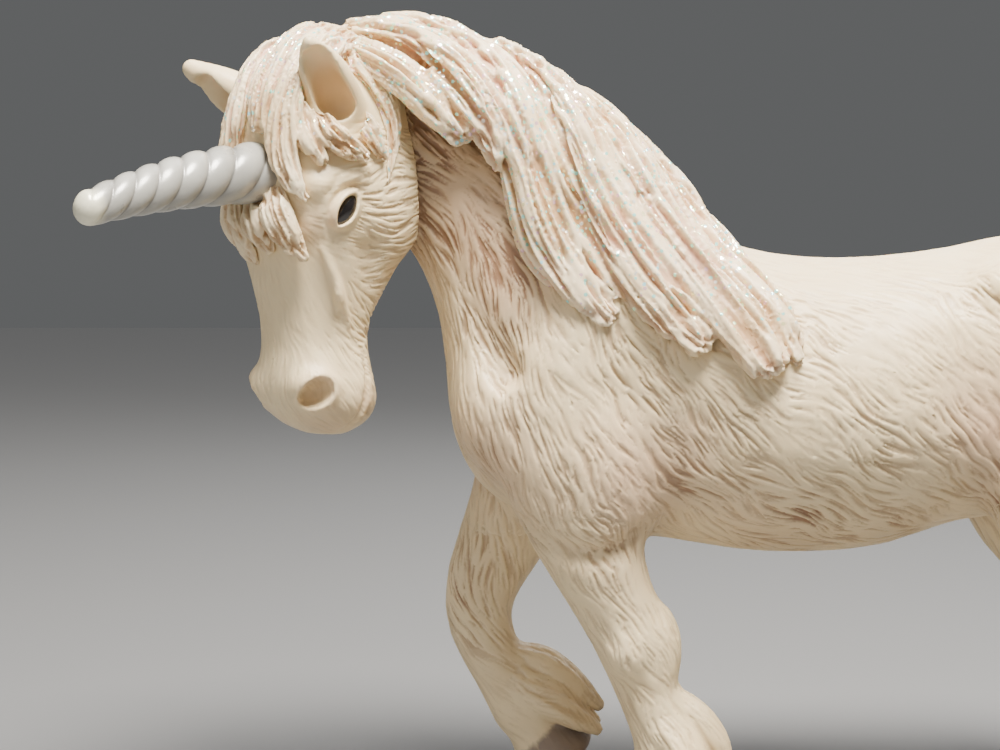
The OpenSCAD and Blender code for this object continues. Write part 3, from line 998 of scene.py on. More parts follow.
def add_hair(piece, controls, strength, spots, blur=0.11, reach=2.6, depth=GROOVE_DEPTH, wash_and_shade=0.6):
    """Cuts short wavy grooves along the lie of the hair, and marks them for the darkening in them, which
    is partly thin paint and partly painted shade.
    """
    points, normals = surface_of(piece)
    directions = laid_flat(Flow(points, controls).at(points), normals)
    directions = swayed(points, directions, normals, SLOW_NOISE, 1.3, 0.20)
    lay = streaks(NOISE, points, directions, blur, reach)
    groove = np.clip((-lay - 0.05) / 1.3, 0, 1) ** 0.8
    patches = np.clip(0.8 + 0.25 * noise_at(SLOW_NOISE, points, 2.5), 0.25, 1.2)
    amount = strength(points) * patches
    rise = depth * amount * (0.25 * np.tanh(lay) - groove)
    move_points(piece, points + normals * rise[:, None])
    set_values(piece, "hollow", wash_and_shade * groove * amount)
    set_values(piece, "blush", blush_at(points, spots))


def even_strength(points):
    return np.ones(len(points))


def body_hair_strength(points):
    """Deep on the neck, chest and sides, and faint along the back."""
    z = points[:, 2]
    back = np.clip((z - 70) / 8, 0, 1) * np.clip((points[:, 0] + 2) / 10, 0, 1)
    hooves = np.clip((z - 6.5) / 2, 0, 1)
    lower = 0.45 + 0.55 * np.clip((z - 8) / 30, 0, 1)
    return (1 - 0.7 * back) * lower * hooves


# How far a leg reaches into the body under the body's skin, so that no gap shows.
LEG_ROOT = 0.8
LEG_INSET = 0.05
TORSO_TRIANGLES = 330_000
LEG_TRIANGLES = 80_000
HEAD_TRIANGLES = 200_000


def cast_body(material):
    block = Block((-46, -23, -3.6), (80, 23, 107), 0.4)
    parts = {n: block.of_mesh(*cad_mesh(n), BODY_BAND) for n in ("torso", "head") + LEGS}
    whole = parts["torso"].copy()
    for n in LEGS:
        np.minimum(whole, parts[n], out=whole)
    whole = blurred(block.closed(whole, FILLET), 2.2)
    add_clay(block, whole, BODY_CLAY)
    for spots in ARM_CREASES:
        add_crease(block, whole, spots, 0.5, 3.0)
    for ridges, rows in feather_locks():
        add_lock(block, whole, rows, outward_of_legs, ridges, 0.45, blend=1.0)
    bare = whole
    whole = melt(whole, parts["head"], THROAT_BLEND)
    hair = [(x, side * FLANK_Y, z, dx, 0, dz) for x, z, dx, dz in BODY_HAIR for side in (-1, 1)]
    hair += [(x, y, z, dx, 0, dz) for x, y, z, dx, dz in LEG_HAIR]
    hair += lock_controls([rows for _, rows in feather_locks()])
    soft = blurred(whole, 4.0)
    for n in ("torso",) + LEGS:
        others = [parts[m] for m in parts if m != n]
        border = (parts[n] - np.minimum.reduce(others)) / 2
        field = np.maximum(whole, border)
        if n in LEGS:
            inset = LEG_INSET * np.clip(border / 0.4 + 1, 0, 1)
            field = np.maximum(whole + inset, border - LEG_ROOT)
        points, quads = without_crumbs(*block.skin(field))
        piece = finer_mesh(n + "_casting", points, quads, cavities(block, soft, points, 1.2))
        add_hair(piece, hair, body_hair_strength, BLUSH)
        points, _ = surface_of(piece)
        set_values(piece, "hoof", hoof_mask(points))
        set_values(piece, "brown", blush_at(points, BROWN))
        thinned(piece, LEG_TRIANGLES if n in LEGS else TORSO_TRIANGLES)
        stands_for(piece, n, material)
    return block, bare


# ---- Head ------------------------------------------------------------------------

HEAD_CLAY = both_sides(
    # Cheek disc, and the hollow in front of it.
    dict(egg=((4.6, -7.2, -18.5), (8.5, 7.4, 3.0), leaning((0, 0, 1), OUT)), blend=2.5),
    dict(rod=((-0.5, -9.8, -27), (1.5, -8.8, -37), 1.2, 1.4), blend=3.0, carve=True),
    dict(rod=((-9.6, -7.6, -27), (-6.6, -7.8, -38), 0.9, 1.0), blend=3.0, carve=True),
    # Brow and the lids' bulge.
    dict(rod=((-8.6, -7.6, -18.4), (-3.4, -9.3, -16.2), 1.5, 1.2), blend=2.0),
    dict(egg=((-5.2, -7.9, -21.3), (3.3, 3.0, 2.3), leaning((0.55, 0, 0.8), OUT)), blend=1.2),
    # Nostril: its wing, then its hole.
    dict(egg=((-5.7, -4.5, -44.4), (2.8, 3.2, 2.6), UPRIGHT), blend=1.5),
    dict(egg=((-6.6, -6.4, -44.9), (2.2, 1.8, 3.4), leaning((0.8, 0, 0.3), (-0.75, -0.66, 0))),
         blend=0.6, carve=True),
    # Slope under the nose.
    dict(rod=((-8.9, -6, -50.4), (-8.9, 0, -50.8), 2.0, 2.0), blend=2.5, carve=True),
) + [
    # Chin, and the groove between the jaw bones.
    dict(egg=((4.2, 0, -46.2), (3.0, 4.6, 3.6), UPRIGHT), blend=1.5),
    dict(rod=((11.5, 0, -22), (7.0, 0, -38), 2.4, 1.2), blend=2.5, carve=True),
]

# Lines on the head that follow the skin: [spots, radius, blend, carved].
HEAD_LINES = [
    # Vein on the side of the face, and its fork.
    ([(-7.4, -7.4, -26.4), (-5.4, -7.8, -30.2), (-1.6, -7.0, -36.2)], 0.85, 0.5, False),
    ([(-5.0, -7.8, -31.0), (-4.4, -7.6, -34.4)], 0.6, 0.5, False),
    # Line between the lips, from the corner of the mouth.
    ([(2.2, -6.8, -40.6), (2.0, -6.8, -44.2), (1.2, -6.2, -47.8), (-0.2, -4.0, -50.2)], 0.6, 0.5, True),
    # Edge of the jaw.
    ([(8.6, -8.4, -27.5), (10.6, -8.6, -22)], 0.4, 1.2, True),
    # Folds above and below the eye.
    ([(-8.0, -8.4, -19.2), (-6.2, -9.4, -16.8), (-3.0, -9.8, -16.6)], 0.30, 0.5, True),
    ([(-8.2, -8.6, -23.2), (-6.4, -9.0, -24.4), (-4.0, -9.2, -24.0)], 0.25, 0.5, True)
]

# The slit of an eye: its middle, its length and width, and which way it slants.
SLIT_AT = (-5.3, -9.6, -21.4)
SLIT_LENGTH, SLIT_WIDTH = 4.7, 2.2
SLIT_LEAN = (0.50, -0.16, 0.86)
SLIT_OUT = (-0.42, -0.9, 0.05)

# Ears: the path [x, y, z, half width, half depth], and which way each opens.
EARS = [
    ([(-2.6, -6.0, -9.4, 3.2, 2.6), (-5.8, -7.2, -6.6, 3.5, 2.6), (-9.0, -8.2, -3.4, 2.8, 2.1),
      (-11.6, -8.9, -0.8, 0.8, 0.9)], (-0.72, -0.66, -0.35)),
    ([(-3.4, 5.6, -9.2, 3.4, 3.0), (-6.0, 8.0, -7.4, 3.8, 3.0), (-9.2, 10.8, -5.2, 3.2, 2.5),
      (-12.2, 13.3, -3.0, 1.2, 1.1)], (-0.72, 0.1, -0.66))
]

# Lie of the hair on the head: [x, z, dx, dz] on both sides, this far from its middle.
CHEEK_Y = 8
HEAD_HAIR = [
    (8, -14, 0.98, 0.15), (9, -22, 0.97, 0.1), (2, -20, 0.98, 0.12), (0, -27, 0.95, -0.1),
    (4, -28, 0.9, 0.1), (-3, -17, 0.9, 0.35), (-4, -30, 0.75, -0.6), (-8, -34, 0.3, -0.95),
    (2, -36, 0.8, -0.4), (-6, -42, 0.4, -0.9), (-9, -20, 0.7, -0.1)
]

# Brown round the nostrils and under the lips: [x, y, z, reach, strength]. It is partly brown paint and
# partly painted shade.
HEAD_BROWN = [
    (-6.6, -6.2, -44.4, 1.8, 1.0), (-5, -3, -50, 3.4, 0.6), (3.6, -5, -46.5, 3.0, 0.4),
    (9, -6, -26, 5, 0.3)
]

HEAD_BLUSH = [
    (-6.5, -9.6, -22.5, 1.6, 0.9), (-9.4, -7.0, -23.5, 2.2, 0.7), (-6.8, -7.2, -44.8, 2.2, 0.8),
    (-3, -5, -49.5, 3.6, 0.5), (1.8, -7, -46, 2.2, 0.5), (-4.8, -8.6, -30.5, 1.8, 0.35)
]


def local(points):
    return (points - HEAD_ORIGIN) @ HEAD_AXES.T


def turned(direction):
    return unit(direction) @ HEAD_AXES


def slit_frame(side):
    """The middle of an eye's slit, and the ways along it and out of the head."""
    flipped = np.array([1, side, 1])
    out = turned(np.array(SLIT_OUT) * flipped)
    lean = turned(np.array(SLIT_LEAN) * flipped)
    return from_head(np.array(SLIT_AT) * flipped), unit(lean - (lean @ out) * out), out


def open_eye(block, values, side):
    """Cuts an almond through the skin over an eye, and gives it thick lids."""
    middle, lean, out = slit_frame(side)
    across = np.cross(out, lean) * side
    cut, places = block.window(middle, 5.0)
    offset = places - middle
    u, v, w = offset @ lean, offset @ across, offset @ out
    radius = (SLIT_LENGTH ** 2 + SLIT_WIDTH ** 2) / 4 / SLIT_WIDTH
    drop = radius - SLIT_WIDTH / 2
    slit = np.maximum(np.hypot(u, v - drop), np.hypot(u, v + drop)) - radius
    skin = values[cut]
    rim = np.hypot(slit - 0.28, skin) - (0.20 + 0.16 * np.clip(v, 0, 1))
    crease = np.hypot(slit - 1.15, skin + 0.05) - np.clip(0.25 + 0.2 * v, 0.02, 0.34)
    skin = melt(skin, rim, 0.5)
    skin = carve(skin, crease, 0.3)
    hole = np.maximum(slit, -w - 2.0)
    values[cut] = carve(skin, hole, 0.3)


def add_ear(block, values, rows, opening):
    """Adds a leaf-shaped ear and hollows it out."""
    opening = turned(opening)
    add_lock(block, values, rows, lambda p: opening, ridges=1, depth=0.0, place=from_head, blend=1.2)
    hollow = block.full()
    inner = [(x, y, z, 0.72 * wide, 0.9 * deep) for x, y, z, wide, deep in rows[1:-1]]
    path = np.array(rows)
    inner = [tuple(0.4 * path[0] + 0.6 * path[1])] + inner + [tuple(0.3 * path[-1] + 0.7 * path[-2])]
    inner = [(x, y, z, min(wide, 2.3), min(deep, 1.9)) for x, y, z, wide, deep in inner]
    shift = opening * 1.5
    add_lock(block, hollow, inner, lambda p: opening, ridges=1, depth=0.0,
             place=lambda p: from_head(p) + shift, blend=0.3)
    values[...] = carve(values, hollow, 0.6)


def inside_ears(spots, normals):
    """1 in the hollow of an ear, which is coloured ochre partly as paint and partly as painted shade,
    and 0 elsewhere.
    """
    mask = np.zeros(len(spots))
    for rows, opening in EARS:
        middle = (np.array(rows[1][:3]) + np.array(rows[2][:3])) / 2
        near = np.exp(-(((spots - middle) / 3.4) ** 2).sum(1))
        inside = np.clip(1.2 - (spots - middle) @ unit(opening), 0, 1)
        mask = np.maximum(mask, near * inside * np.clip(normals @ turned(opening) * 2, 0, 1))
    return mask


def cast_head(material, body_skin):
    block = Block((-72, -28, 49), (-24, 14, 110), 0.25)
    bare = block.of_mesh(*cad_mesh("head"), FINE_BAND)
    values = blurred(block.closed(bare, 0.8), 2.0)
    add_clay(block, values, HEAD_CLAY, from_head, HEAD_AXES)
    for rows, opening in EARS:
        add_ear(block, values, rows, opening)
    for side in (1, -1):
        open_eye(block, values, side)
        for spots, radius, blend, carved in HEAD_LINES:
            add_crease(block, values, [(x, side * y, z) for x, y, z in spots], radius, blend,
                       from_head, carved)
    values = blurred(values, 0.7)
    neck = block.of_mesh(*body_skin, FINE_BAND)
    border = (bare - neck) / 2 + SEAM
    whole = melt(values, neck, THROAT_BLEND)
    points, quads = without_crumbs(*block.skin(np.maximum(whole, border)))
    cavity = cavities(block, blurred(whole, 4.0), points, 0.7)
    piece = finer_mesh("head_casting", points, quads, cavity)
    controls = [(*from_head((x, side * CHEEK_Y, z)), *turned((dx, 0, dz)))
                for x, z, dx, dz in HEAD_HAIR for side in (-1, 1)]
    add_hair(piece, controls, head_hair_strength, [], blur=0.105, reach=1.8, depth=0.17, wash_and_shade=0.4)
    points, normals = surface_of(piece)
    set_values(piece, "blush", blush_at(local(points), HEAD_BLUSH))
    set_values(piece, "brown", blush_at(local(points), HEAD_BROWN))
    set_values(piece, "ochre", inside_ears(local(points), normals))
    thinned(piece, HEAD_TRIANGLES)
    stands_for(piece, "head", material)
    return block, values


def head_hair_strength(points):
    """Deep on the cheek, and faint on the nose and muzzle."""
    p = local(points)
    cheek = np.clip((p[:, 0] + 6.5) / 4, 0, 1) * np.clip((p[:, 2] + 44) / 8, 0, 1)
    slit = np.linalg.norm(p * (1, 0, 1) - np.array(SLIT_AT) * (1, 0, 1), axis=1)
    ears = np.clip((-p[:, 2] - 9) / 3, 0, 1)
    return (0.30 + 0.70 * cheek) * np.clip((slit - 2.0) / 1.2, 0, 1) * ears


# ---- Mane, forelock and tail -------------------------------------------------------

NECK_AXIS = [(-41, -4.5, 92), (-10, 0, 66), (30, 0, 62)]

# The mane's locks: [ridges, rows].
CREST_LOCKS = [
    (5, [(-46.4, -4.8, 99.2, 2.6, 1.4), (-43, -4.2, 103.2, 4.2, 2.2), (-37, -2.6, 106.6, 4.6, 2.4),
         (-28.5, -0.6, 106.4, 4.6, 2.4), (-21.5, 0, 102.4, 3.6, 1.9)]),
    (5, [(-27, -0.6, 104.3, 3.6, 2.0), (-20.5, 0, 103.0, 4.4, 2.4), (-13.5, 0.4, 99.2, 4.4, 2.3),
         (-7.6, 0.4, 94.6, 3.4, 1.8)]),
    (4, [(-13, 0.4, 97, 3.4, 1.9), (-7.0, 0.4, 95.0, 4.2, 2.3), (-1.0, 0.2, 90.2, 4, 2.1),
         (3.4, 0, 85, 3.0, 1.7)]),
    (4, [(-2, 0, 88.6, 3.0, 1.8), (2.6, 0, 85.8, 3.4, 2.0), (6.8, 0, 81.2, 2.4, 1.3),
         (9.5, 0, 78.5, 1.0, 0.8)])
]
LEFT_LOCKS = [
    (4, [(-42, -7, 104.2, 2.6, 1.8), (-38, -10.0, 103.0, 3.2, 2.0), (-33, -10.8, 100.2, 3.4, 2.2),
         (-28.6, -11.4, 96.2, 3.2, 2.1), (-25.9, -12.0, 93.0, 2.3, 1.7)]),
    (5, [(-40, -3, 106.3, 3.2, 2.2), (-32, -5.5, 105.0, 4.0, 2.4), (-25.6, -8.8, 101.3, 4.2, 2.4),
         (-21.8, -11.2, 96.0, 3.4, 2.2), (-20.7, -12.4, 90, 1.6, 1.4)]),
    (2, [(-28.8, -10.8, 100, 1.8, 1.5), (-24.4, -12.2, 95.2, 1.8, 1.5), (-20.9, -12.6, 88.6, 0.8, 0.8)]),
    (2, [(-19.8, -10.6, 96, 1.6, 1.5), (-18.8, -12.0, 87, 1.6, 1.5), (-17.0, -13.0, 78.4, 1.4, 1.3),
         (-13.2, -14.4, 73.2, 1.2, 1.1), (-8.8, -15.6, 68.9, 0.9, 0.9)]),
    (5, [(-28, -2.5, 106.3, 3.2, 2.0), (-21, -6.5, 101.8, 3.8, 2.2), (-17.2, -10.3, 95.5, 4.0, 2.3),
         (-15.6, -12.2, 87.8, 3.8, 2.2), (-14.0, -13.9, 79.8, 3.4, 2.1), (-10.8, -15.4, 73.8, 3.0, 2.1),
         (-6.9, -16.6, 69.4, 1.9, 1.5)]),
    (5, [(-20, -1.0, 103.8, 3.4, 2.2), (-13.5, -6.0, 99.3, 4.2, 2.4), (-9.6, -10.3, 92.5, 4.2, 2.4),
         (-7.8, -13.0, 84.6, 4.0, 2.3), (-4.4, -15.0, 77.0, 3.4, 2.1), (0.4, -17.1, 70.0, 3.0, 2.1),
         (4.9, -18.4, 66.0, 2.1, 1.6)]),
    (5, [(-13, -0.6, 99.4, 3.4, 2.2), (-6.6, -5.0, 94.4, 4.2, 2.4), (-2.8, -9.2, 88.4, 4.2, 2.4),
         (0.2, -12.4, 81.4, 4.2, 2.3), (5.0, -15.4, 74.6, 3.9, 2.1), (10.4, -18.3, 68.0, 3.8, 2.2),
         (13.4, -20.2, 63.4, 2.8, 1.8)]),
    (4, [(-6, 0, 93.8, 3.0, 2.0), (0.8, -3.6, 87.4, 3.4, 2.2), (5.4, -8.2, 80.6, 3.2, 2.0),
         (10.6, -13.3, 74.2, 2.8, 1.8), (15.4, -16.7, 69.0, 2.2, 1.6), (17.2, -18.8, 63.8, 1.2, 1.1)]),
    (4, [(-17, -9, 97, 3.0, 2.0), (-12.6, -12.0, 88.5, 3.0, 2.1), (-9.8, -13.5, 80.5, 3.0, 2.0),
         (-6.4, -15.0, 74, 2.4, 1.8), (-3.6, -15.9, 70.4, 1.2, 1.1)]),
    (3, [(-12, -12.4, 89, 2.0, 1.5), (-8.0, -14.0, 82.2, 2.3, 1.6), (-3.2, -15.6, 77.2, 2.0, 1.5),
         (-0.6, -16.3, 75.0, 1.0, 1.0)]),
    (3, [(-6.8, -9.6, 92.4, 2.0, 1.4), (-2.6, -12.0, 85, 2.2, 1.5), (2.2, -14.6, 78.6, 2.0, 1.4),
         (7.0, -17.0, 72.4, 1.0, 1.0)]),
    (3, [(-27, -9.3, 102.6, 1.8, 1.2), (-21.2, -11.8, 96.6, 2.0, 1.4), (-17.4, -13.5, 88, 1.6, 1.3),
         (-15.4, -14.7, 81.6, 0.8, 0.8)]),
    (2, [(-14, -8, 98.2, 2.0, 1.3), (-9.0, -11.6, 91, 2.0, 1.4), (-5.6, -14.0, 83.2, 1.8, 1.3),
         (-2.6, -15.7, 77.2, 0.8, 0.8)])
]
RIGHT_LOCKS = [
    (4, [(-38, 0, 105.8, 3, 2.0), (-31, 5.8, 102.4, 3.8, 2.4), (-24.5, 10.0, 94.6, 3.6, 2.2),
         (-20.8, 11.8, 86.5, 2.6, 1.8), (-18.8, 12.6, 80.4, 1.2, 1.1)]),
    (5, [(-29, 2, 104.6, 3.2, 2.0), (-20.5, 7.2, 99.0, 4.0, 2.4), (-15.2, 11.2, 90.8, 3.8, 2.2),
         (-12.0, 13.6, 82.4, 2.8, 1.8), (-9.4, 14.8, 76.6, 1.2, 1.1)]),
    (5, [(-19, 2, 101, 3.2, 2.0), (-11, 7.0, 94.2, 4, 2.4), (-6.8, 11.4, 86.4, 3.6, 2.2),
         (-3.0, 14.2, 79.2, 2.6, 1.8), (0.4, 15.6, 73.8, 1.2, 1.1)]),
    (4, [(-10, 1.6, 95, 3, 2.0), (-2.8, 6.2, 88, 3.6, 2.2), (2.4, 10.8, 80.2, 2.8, 1.9),
         (6.6, 13.6, 74, 1.2, 1.1)])
]

HEAD_AXIS = [(0, 0, -6), (-2, 0, -24), (-1, 0, -40)]
FRONT_TUFTS = [
    (4, [(1, -1, 1.6, 2.6, 1.5), (-5, -1.5, 1.2, 2.8, 1.6), (-9.4, -1.6, -2.4, 2.8, 1.5),
         (-12.4, -1.4, -7.2, 2.4, 1.3), (-13.0, -1.2, -11.0, 1.4, 1.0)]),
    (3, [(-11.6, -3.2, -19.4, 1.8, 1.3), (-12.7, -4.4, -22.0, 2.3, 1.5), (-11.7, -5.6, -25.0, 2.0, 1.3),
         (-10.0, -6.6, -27.4, 0.8, 0.8)]),
    (2, [(-12.2, 0.2, -20.8, 1.8, 1.1), (-12.9, -0.8, -23.6, 2.1, 1.3), (-11.7, -2.0, -26.6, 0.9, 0.7)]),
    (3, [(-12.2, 4.0, -19.6, 1.8, 1.1), (-12.8, 3.8, -22.8, 2.0, 1.3), (-11.5, 2.4, -26.4, 1.5, 1.0),
         (-10.7, 1.4, -28.2, 0.7, 0.6)])
]
SIDE_TUFTS = [
    (4, [(0, -4.2, 0.6, 2.4, 1.4), (-6, -5, -0.8, 2.6, 1.5), (-10.0, -4.8, -4.8, 2.6, 1.4),
         (-12.2, -4.2, -9.8, 2.2, 1.2), (-12.7, -3.6, -13.4, 1.2, 0.9)]),
    (3, [(-8.6, -6.4, -4.8, 2.0, 1.2), (-11.4, -5.2, -9.6, 2.0, 1.3), (-12.4, -5.0, -14.2, 2.1, 1.4),
         (-11.8, -6.4, -17.8, 1.6, 1.2), (-10.8, -7.5, -20.0, 0.7, 0.7)]),
    (3, [(-8.8, -7.2, -9.0, 1.6, 1.1), (-8.4, -9.0, -11.6, 1.8, 1.3), (-6.2, -10.2, -13.2, 1.8, 1.2),
         (-3.4, -10.5, -14.4, 1.0, 0.8)]),
    (2, [(-10.4, -6.2, -10.2, 1.5, 1.1), (-10.2, -7.8, -13.0, 1.6, 1.2), (-9.0, -8.8, -15.2, 0.9, 0.8)]),
    (3, [(-1.6, -6.8, -2.6, 1.8, 1.2), (1.6, -8.4, -5.8, 2.0, 1.3), (2.8, -9.4, -10.4, 1.6, 1.1),
         (1.8, -9.9, -14.6, 1.0, 0.8), (1.2, -10.2, -17.4, 0.5, 0.5)]),
    (3, [(-3.4, -8.2, -8.6, 1.6, 1.1), (-1.8, -9.8, -11.2, 1.7, 1.2), (0.0, -10.4, -14.2, 0.8, 0.7)])
]

TAIL_PATH = [
    (64, 0, 74, 2.6), (69, 0, 74.8, 3.4), (73.2, 0.5, 72.2, 4.2), (76.8, 1.0, 66.0, 5.0),
    (78.4, 1.4, 56.0, 5.2), (78.0, 1.8, 45.0, 5.0), (76.6, 2.2, 34.0, 4.2), (76.0, 2.6, 25.0, 2.8),
    (77.0, 3.0, 18.0, 1.0)
]
TAIL_STRANDS = 9


def tail_locks():
    """Strands that wind gently round the tail's middle line."""
    path = smooth_path([row + (0,) for row in TAIL_PATH], 5.0)
    locks = []
    for i in range(TAIL_STRANDS):
        first = rng.integers(0, 3)
        last = len(path) - rng.integers(0, 4)
        turn = 2 * math.pi * i / TAIL_STRANDS
        rows = []
        for k in range(first, last):
            x, y, z, r = path[k][:4]
            angle = turn + 0.10 * k + 0.25 * math.sin(0.9 * k + i)
            taper = min(1, (last - k) / 3)
            rows.append((x + 0.58 * r * math.cos(angle), y + 0.62 * r * math.sin(angle), z,
                         0.62 * r * taper + 0.3, 0.44 * r * taper + 0.3))
        locks.append((3, rows))
    return locks


def mirrored(locks):
    return [(ridges, [(x, -y, z, wide, deep) for x, y, z, wide, deep in rows])
            for ridges, rows in locks]


# How far from the skins under the hair their distances are worked out.
SKIN_BAND = 1.2


def cast_hair(node, block, locks, axis, material, core, under, glitter, most, place=None, depth=0.68,
              fold_blur=0.20, clear=()):
    """Fuses locks into one casting, cut back where it meets what it grows on.

    Core is how far the CAD casting is shrunk before the locks are laid on it.
    """
    values = blurred(block.of_mesh(*cad_mesh(node), FINE_BAND) + core, 2.0)
    if place is not None:
        axis = [place(np.array(p, float)) for p in axis]
    outward = away_from(axis)
    for ridges, rows in locks:
        add_lock(block, values, rows, outward, ridges, 0.35, place, blend=0.3)
    for rows, opening in clear:
        space = block.full()
        way = turned(opening)
        add_lock(block, space, rows, lambda p: way, depth=0.0, place=lambda p: from_head(p) + 1.9 * way)
        values = np.maximum(values, -space)
    for skin in under:
        values = np.maximum(values, SEAM - block.of_mesh(*skin, SKIN_BAND))
    values = blurred(values, 0.5)
    points, quads = without_crumbs(*block.skin(values))
    controls = lock_controls([rows for _, rows in locks], place)
    cavity = cavities(block, blurred(values, 3.0), points, 0.5)
    fold = Flow(points, controls, 1.0).folds(NOISE, points, fold_blur, 14.0)
    valley = np.clip((0.1 - fold) / 1.3, 0, 1) ** 0.8
    points = points + normals_of(points, quads) * (depth * (0.3 * np.tanh(fold) - valley))[:, None]
    # The valleys of the folds join the hollows, which get ochre and pink that is partly paint and partly
    # painted shade.
    cavity = np.clip(0.7 * cavity + 0.9 * valley, 0, 1)
    piece = finer_mesh(node + "_casting", points, quads, cavity)
    add_hair(piece, controls, even_strength, [], reach=4.0, depth=0.07, wash_and_shade=0.5)
    points, _ = surface_of(piece)
    set_values(piece, "glitter", glitter(points))
    thinned(piece, most)
    stands_for(piece, node, material)


def mane_glitter(points):
    """Dense on the crest, and thin towards the tips and on the far side."""
    near_side = np.clip(1.15 - np.maximum(points[:, 1], 0) / 12, 0.3, 1)
    return fading(66, 14, 1.0)(points) * near_side


def fading(low, span, most):
    """Glitter that grows from none at a height to the most of it, a span above."""
    return lambda points: np.clip((points[:, 2] - low) / span, 0, 1) * most


HAIR_CREAM = (0.80, 0.61, 0.36, 1)
HAIR_LIGHT = (0.90, 0.75, 0.50, 1)
# Ochre and pink for the hollows, partly thin paint and partly painted shade.
HAIR_OCHRE = (0.44, 0.24, 0.10, 1)
HAIR_PINK = (0.54, 0.27, 0.17, 1)
# Colours of the glitter, from green by way of gold and pink, and where each starts in a ramp.
GLITTER = [
    (0.0, (0.45, 0.95, 0.80, 1)), (0.28, (1.0, 0.93, 0.80, 1)), (0.55, (0.95, 0.85, 0.45, 1)),
    (0.72, (0.95, 0.60, 0.62, 1)), (0.84, (0.50, 0.90, 0.95, 1)), (0.92, (0.75, 0.98, 0.60, 1))
]
FLAKES_PER_METRE = 1750.0


def hair_material():
    """Cream vinyl with ochre and pink in the hollows and fold valleys, partly as thin paint and partly
    as painted shade, and flakes of glitter in its lacquer.
    """
    s = Shader("cream_hair")
    base = s.mix(s.span(s.noise(90.0, 2.0), 0.35, 0.65), HAIR_CREAM, HAIR_LIGHT)
    tint = s.mix(s.span(s.noise(60.0, 1.0), 0.42, 0.58), HAIR_OCHRE, HAIR_PINK)
    # Ochre and pink in the hollows and valleys is partly thin paint and partly painted shade.
    wash_and_shade = s.maths("ADD", s.maths("MULTIPLY", s.value("cavity"), 0.95),
                   s.maths("MULTIPLY", s.value("hollow"), 0.5), True)
    base = s.mix(s.maths("MULTIPLY", wash_and_shade, s.patches(40.0, 0.7, 1.1), True), base, tint)
    place = s.add("ShaderNodeTexCoord").outputs["Object"]
    cells = s.add("ShaderNodeTexVoronoi", {"Vector": place, "Scale": FLAKES_PER_METRE})
    pick = s.add("ShaderNodeSeparateColor", {"Color": cells.outputs["Color"]})
    crowd = s.span(s.noise(110.0, 2.0), 0.35, 0.65, 0.12, 0.62)
    shown = s.maths("LESS_THAN", pick.outputs["Red"], s.maths("MULTIPLY", s.value("glitter"), crowd))
    flake = s.maths("MULTIPLY", shown, s.maths("LESS_THAN", cells.outputs["Distance"], 0.46))
    hue = s.add("ShaderNodeValToRGB", {"Fac": pick.outputs["Green"]})
    ramp = hue.color_ramp
    ramp.interpolation = "CONSTANT"
    while len(ramp.elements) < len(GLITTER):
        ramp.elements.new(0.5)
    for element, (position, colour) in zip(ramp.elements, GLITTER):
        element.position = position
        element.color = colour
    tilt = s.maths("MULTIPLY", pick.outputs["Blue"], flake)
    return s.shade({"Base Color": s.mix(s.maths("MULTIPLY", flake, 0.95), base, hue.outputs["Color"]),
                    "Metallic": s.maths("MULTIPLY", flake, 0.35),
                    "Roughness": s.mix_values(flake, s.patches(300.0, 0.34, 0.5), 0.16),
                    "Normal": s.bump(tilt, 0.6, 0.0003),
                    "Subsurface Weight": 0.10, **VINYL_GLOW})


# ---- Horn and eyes ------------------------------------------------------------------

HORN_ROOT = (-9.4, 0, -16.6)
HORN_TIP = (-39.6, 0, -23.2)
# How far the horn bows upwards between its ends.
HORN_BOW = 1.0
HORN_RADII = (4.05, 2.0)
HORN_COILS = 7.8
# Grooves that wind round the horn side by side.
HORN_STARTS = 3
COIL_DEPTH = 0.17


def add_horn():
    """A tapered rod, bowed a little, with grooves wound round it and a bare round tip."""
    rings, sides = 420, 96
    root, tip = from_head(HORN_ROOT), from_head(HORN_TIP)
    up = turned((0.2, 0, 1))
    along = unit(tip - root)
    up = unit(up - (up @ along) * along)
    across = np.cross(along, up)
    length = np.linalg.norm(tip - root)
    t = (np.arange(rings) / (rings - 1))[:, None]
    angle = (2 * math.pi * np.arange(sides) / sides)[None, :]
    radius = HORN_RADII[0] + (HORN_RADII[1] - HORN_RADII[0]) * t ** 1.5
    coil = np.abs(np.sin((2 * math.pi * HORN_COILS * t ** 1.25 + HORN_STARTS * angle) / 2))
    fade = np.clip((1 - t) / 0.10, 0, 1)
    radius = radius * (1 - COIL_DEPTH * fade * (1 - coil ** 0.55))
    dome = np.sqrt(np.clip(1 - np.clip((t * length - (length - 1.8)) / 1.8, 0, 1) ** 2, 0.0004, 1))
    radius = radius * dome
    bow = 4 * HORN_BOW * t * (1 - t)
    middles = root + t[..., None] * (tip - root) + bow[..., None] * up
    round_ways = np.cos(angle)[..., None] * up + np.sin(angle)[..., None] * across
    piece = ringed_mesh("horn_coils", middles + radius[..., None] * round_ways, root, tip)
    # The groove value tells the horn material where to paint shade.
    groove = np.concatenate([(fade * (1 - coil ** 0.4)).ravel(), [0, 0]])
    ends = np.concatenate([np.clip((t - 0.90) / 0.05, 0, 1).repeat(sides, 1).ravel(), [0, 1]])
    set_values(piece, "groove", groove)
    set_values(piece, "tip", ends)
    stands_for(piece, "horn", horn_material())


HORN_GREY = (0.36, 0.35, 0.31, 1)
HORN_LIGHT = (0.50, 0.49, 0.44, 1)
# Painted shade for the horn's grooves.
HORN_GROOVE_SHADE = (0.17, 0.16, 0.15, 1)
HORN_BARE = (0.84, 0.80, 0.60, 1)


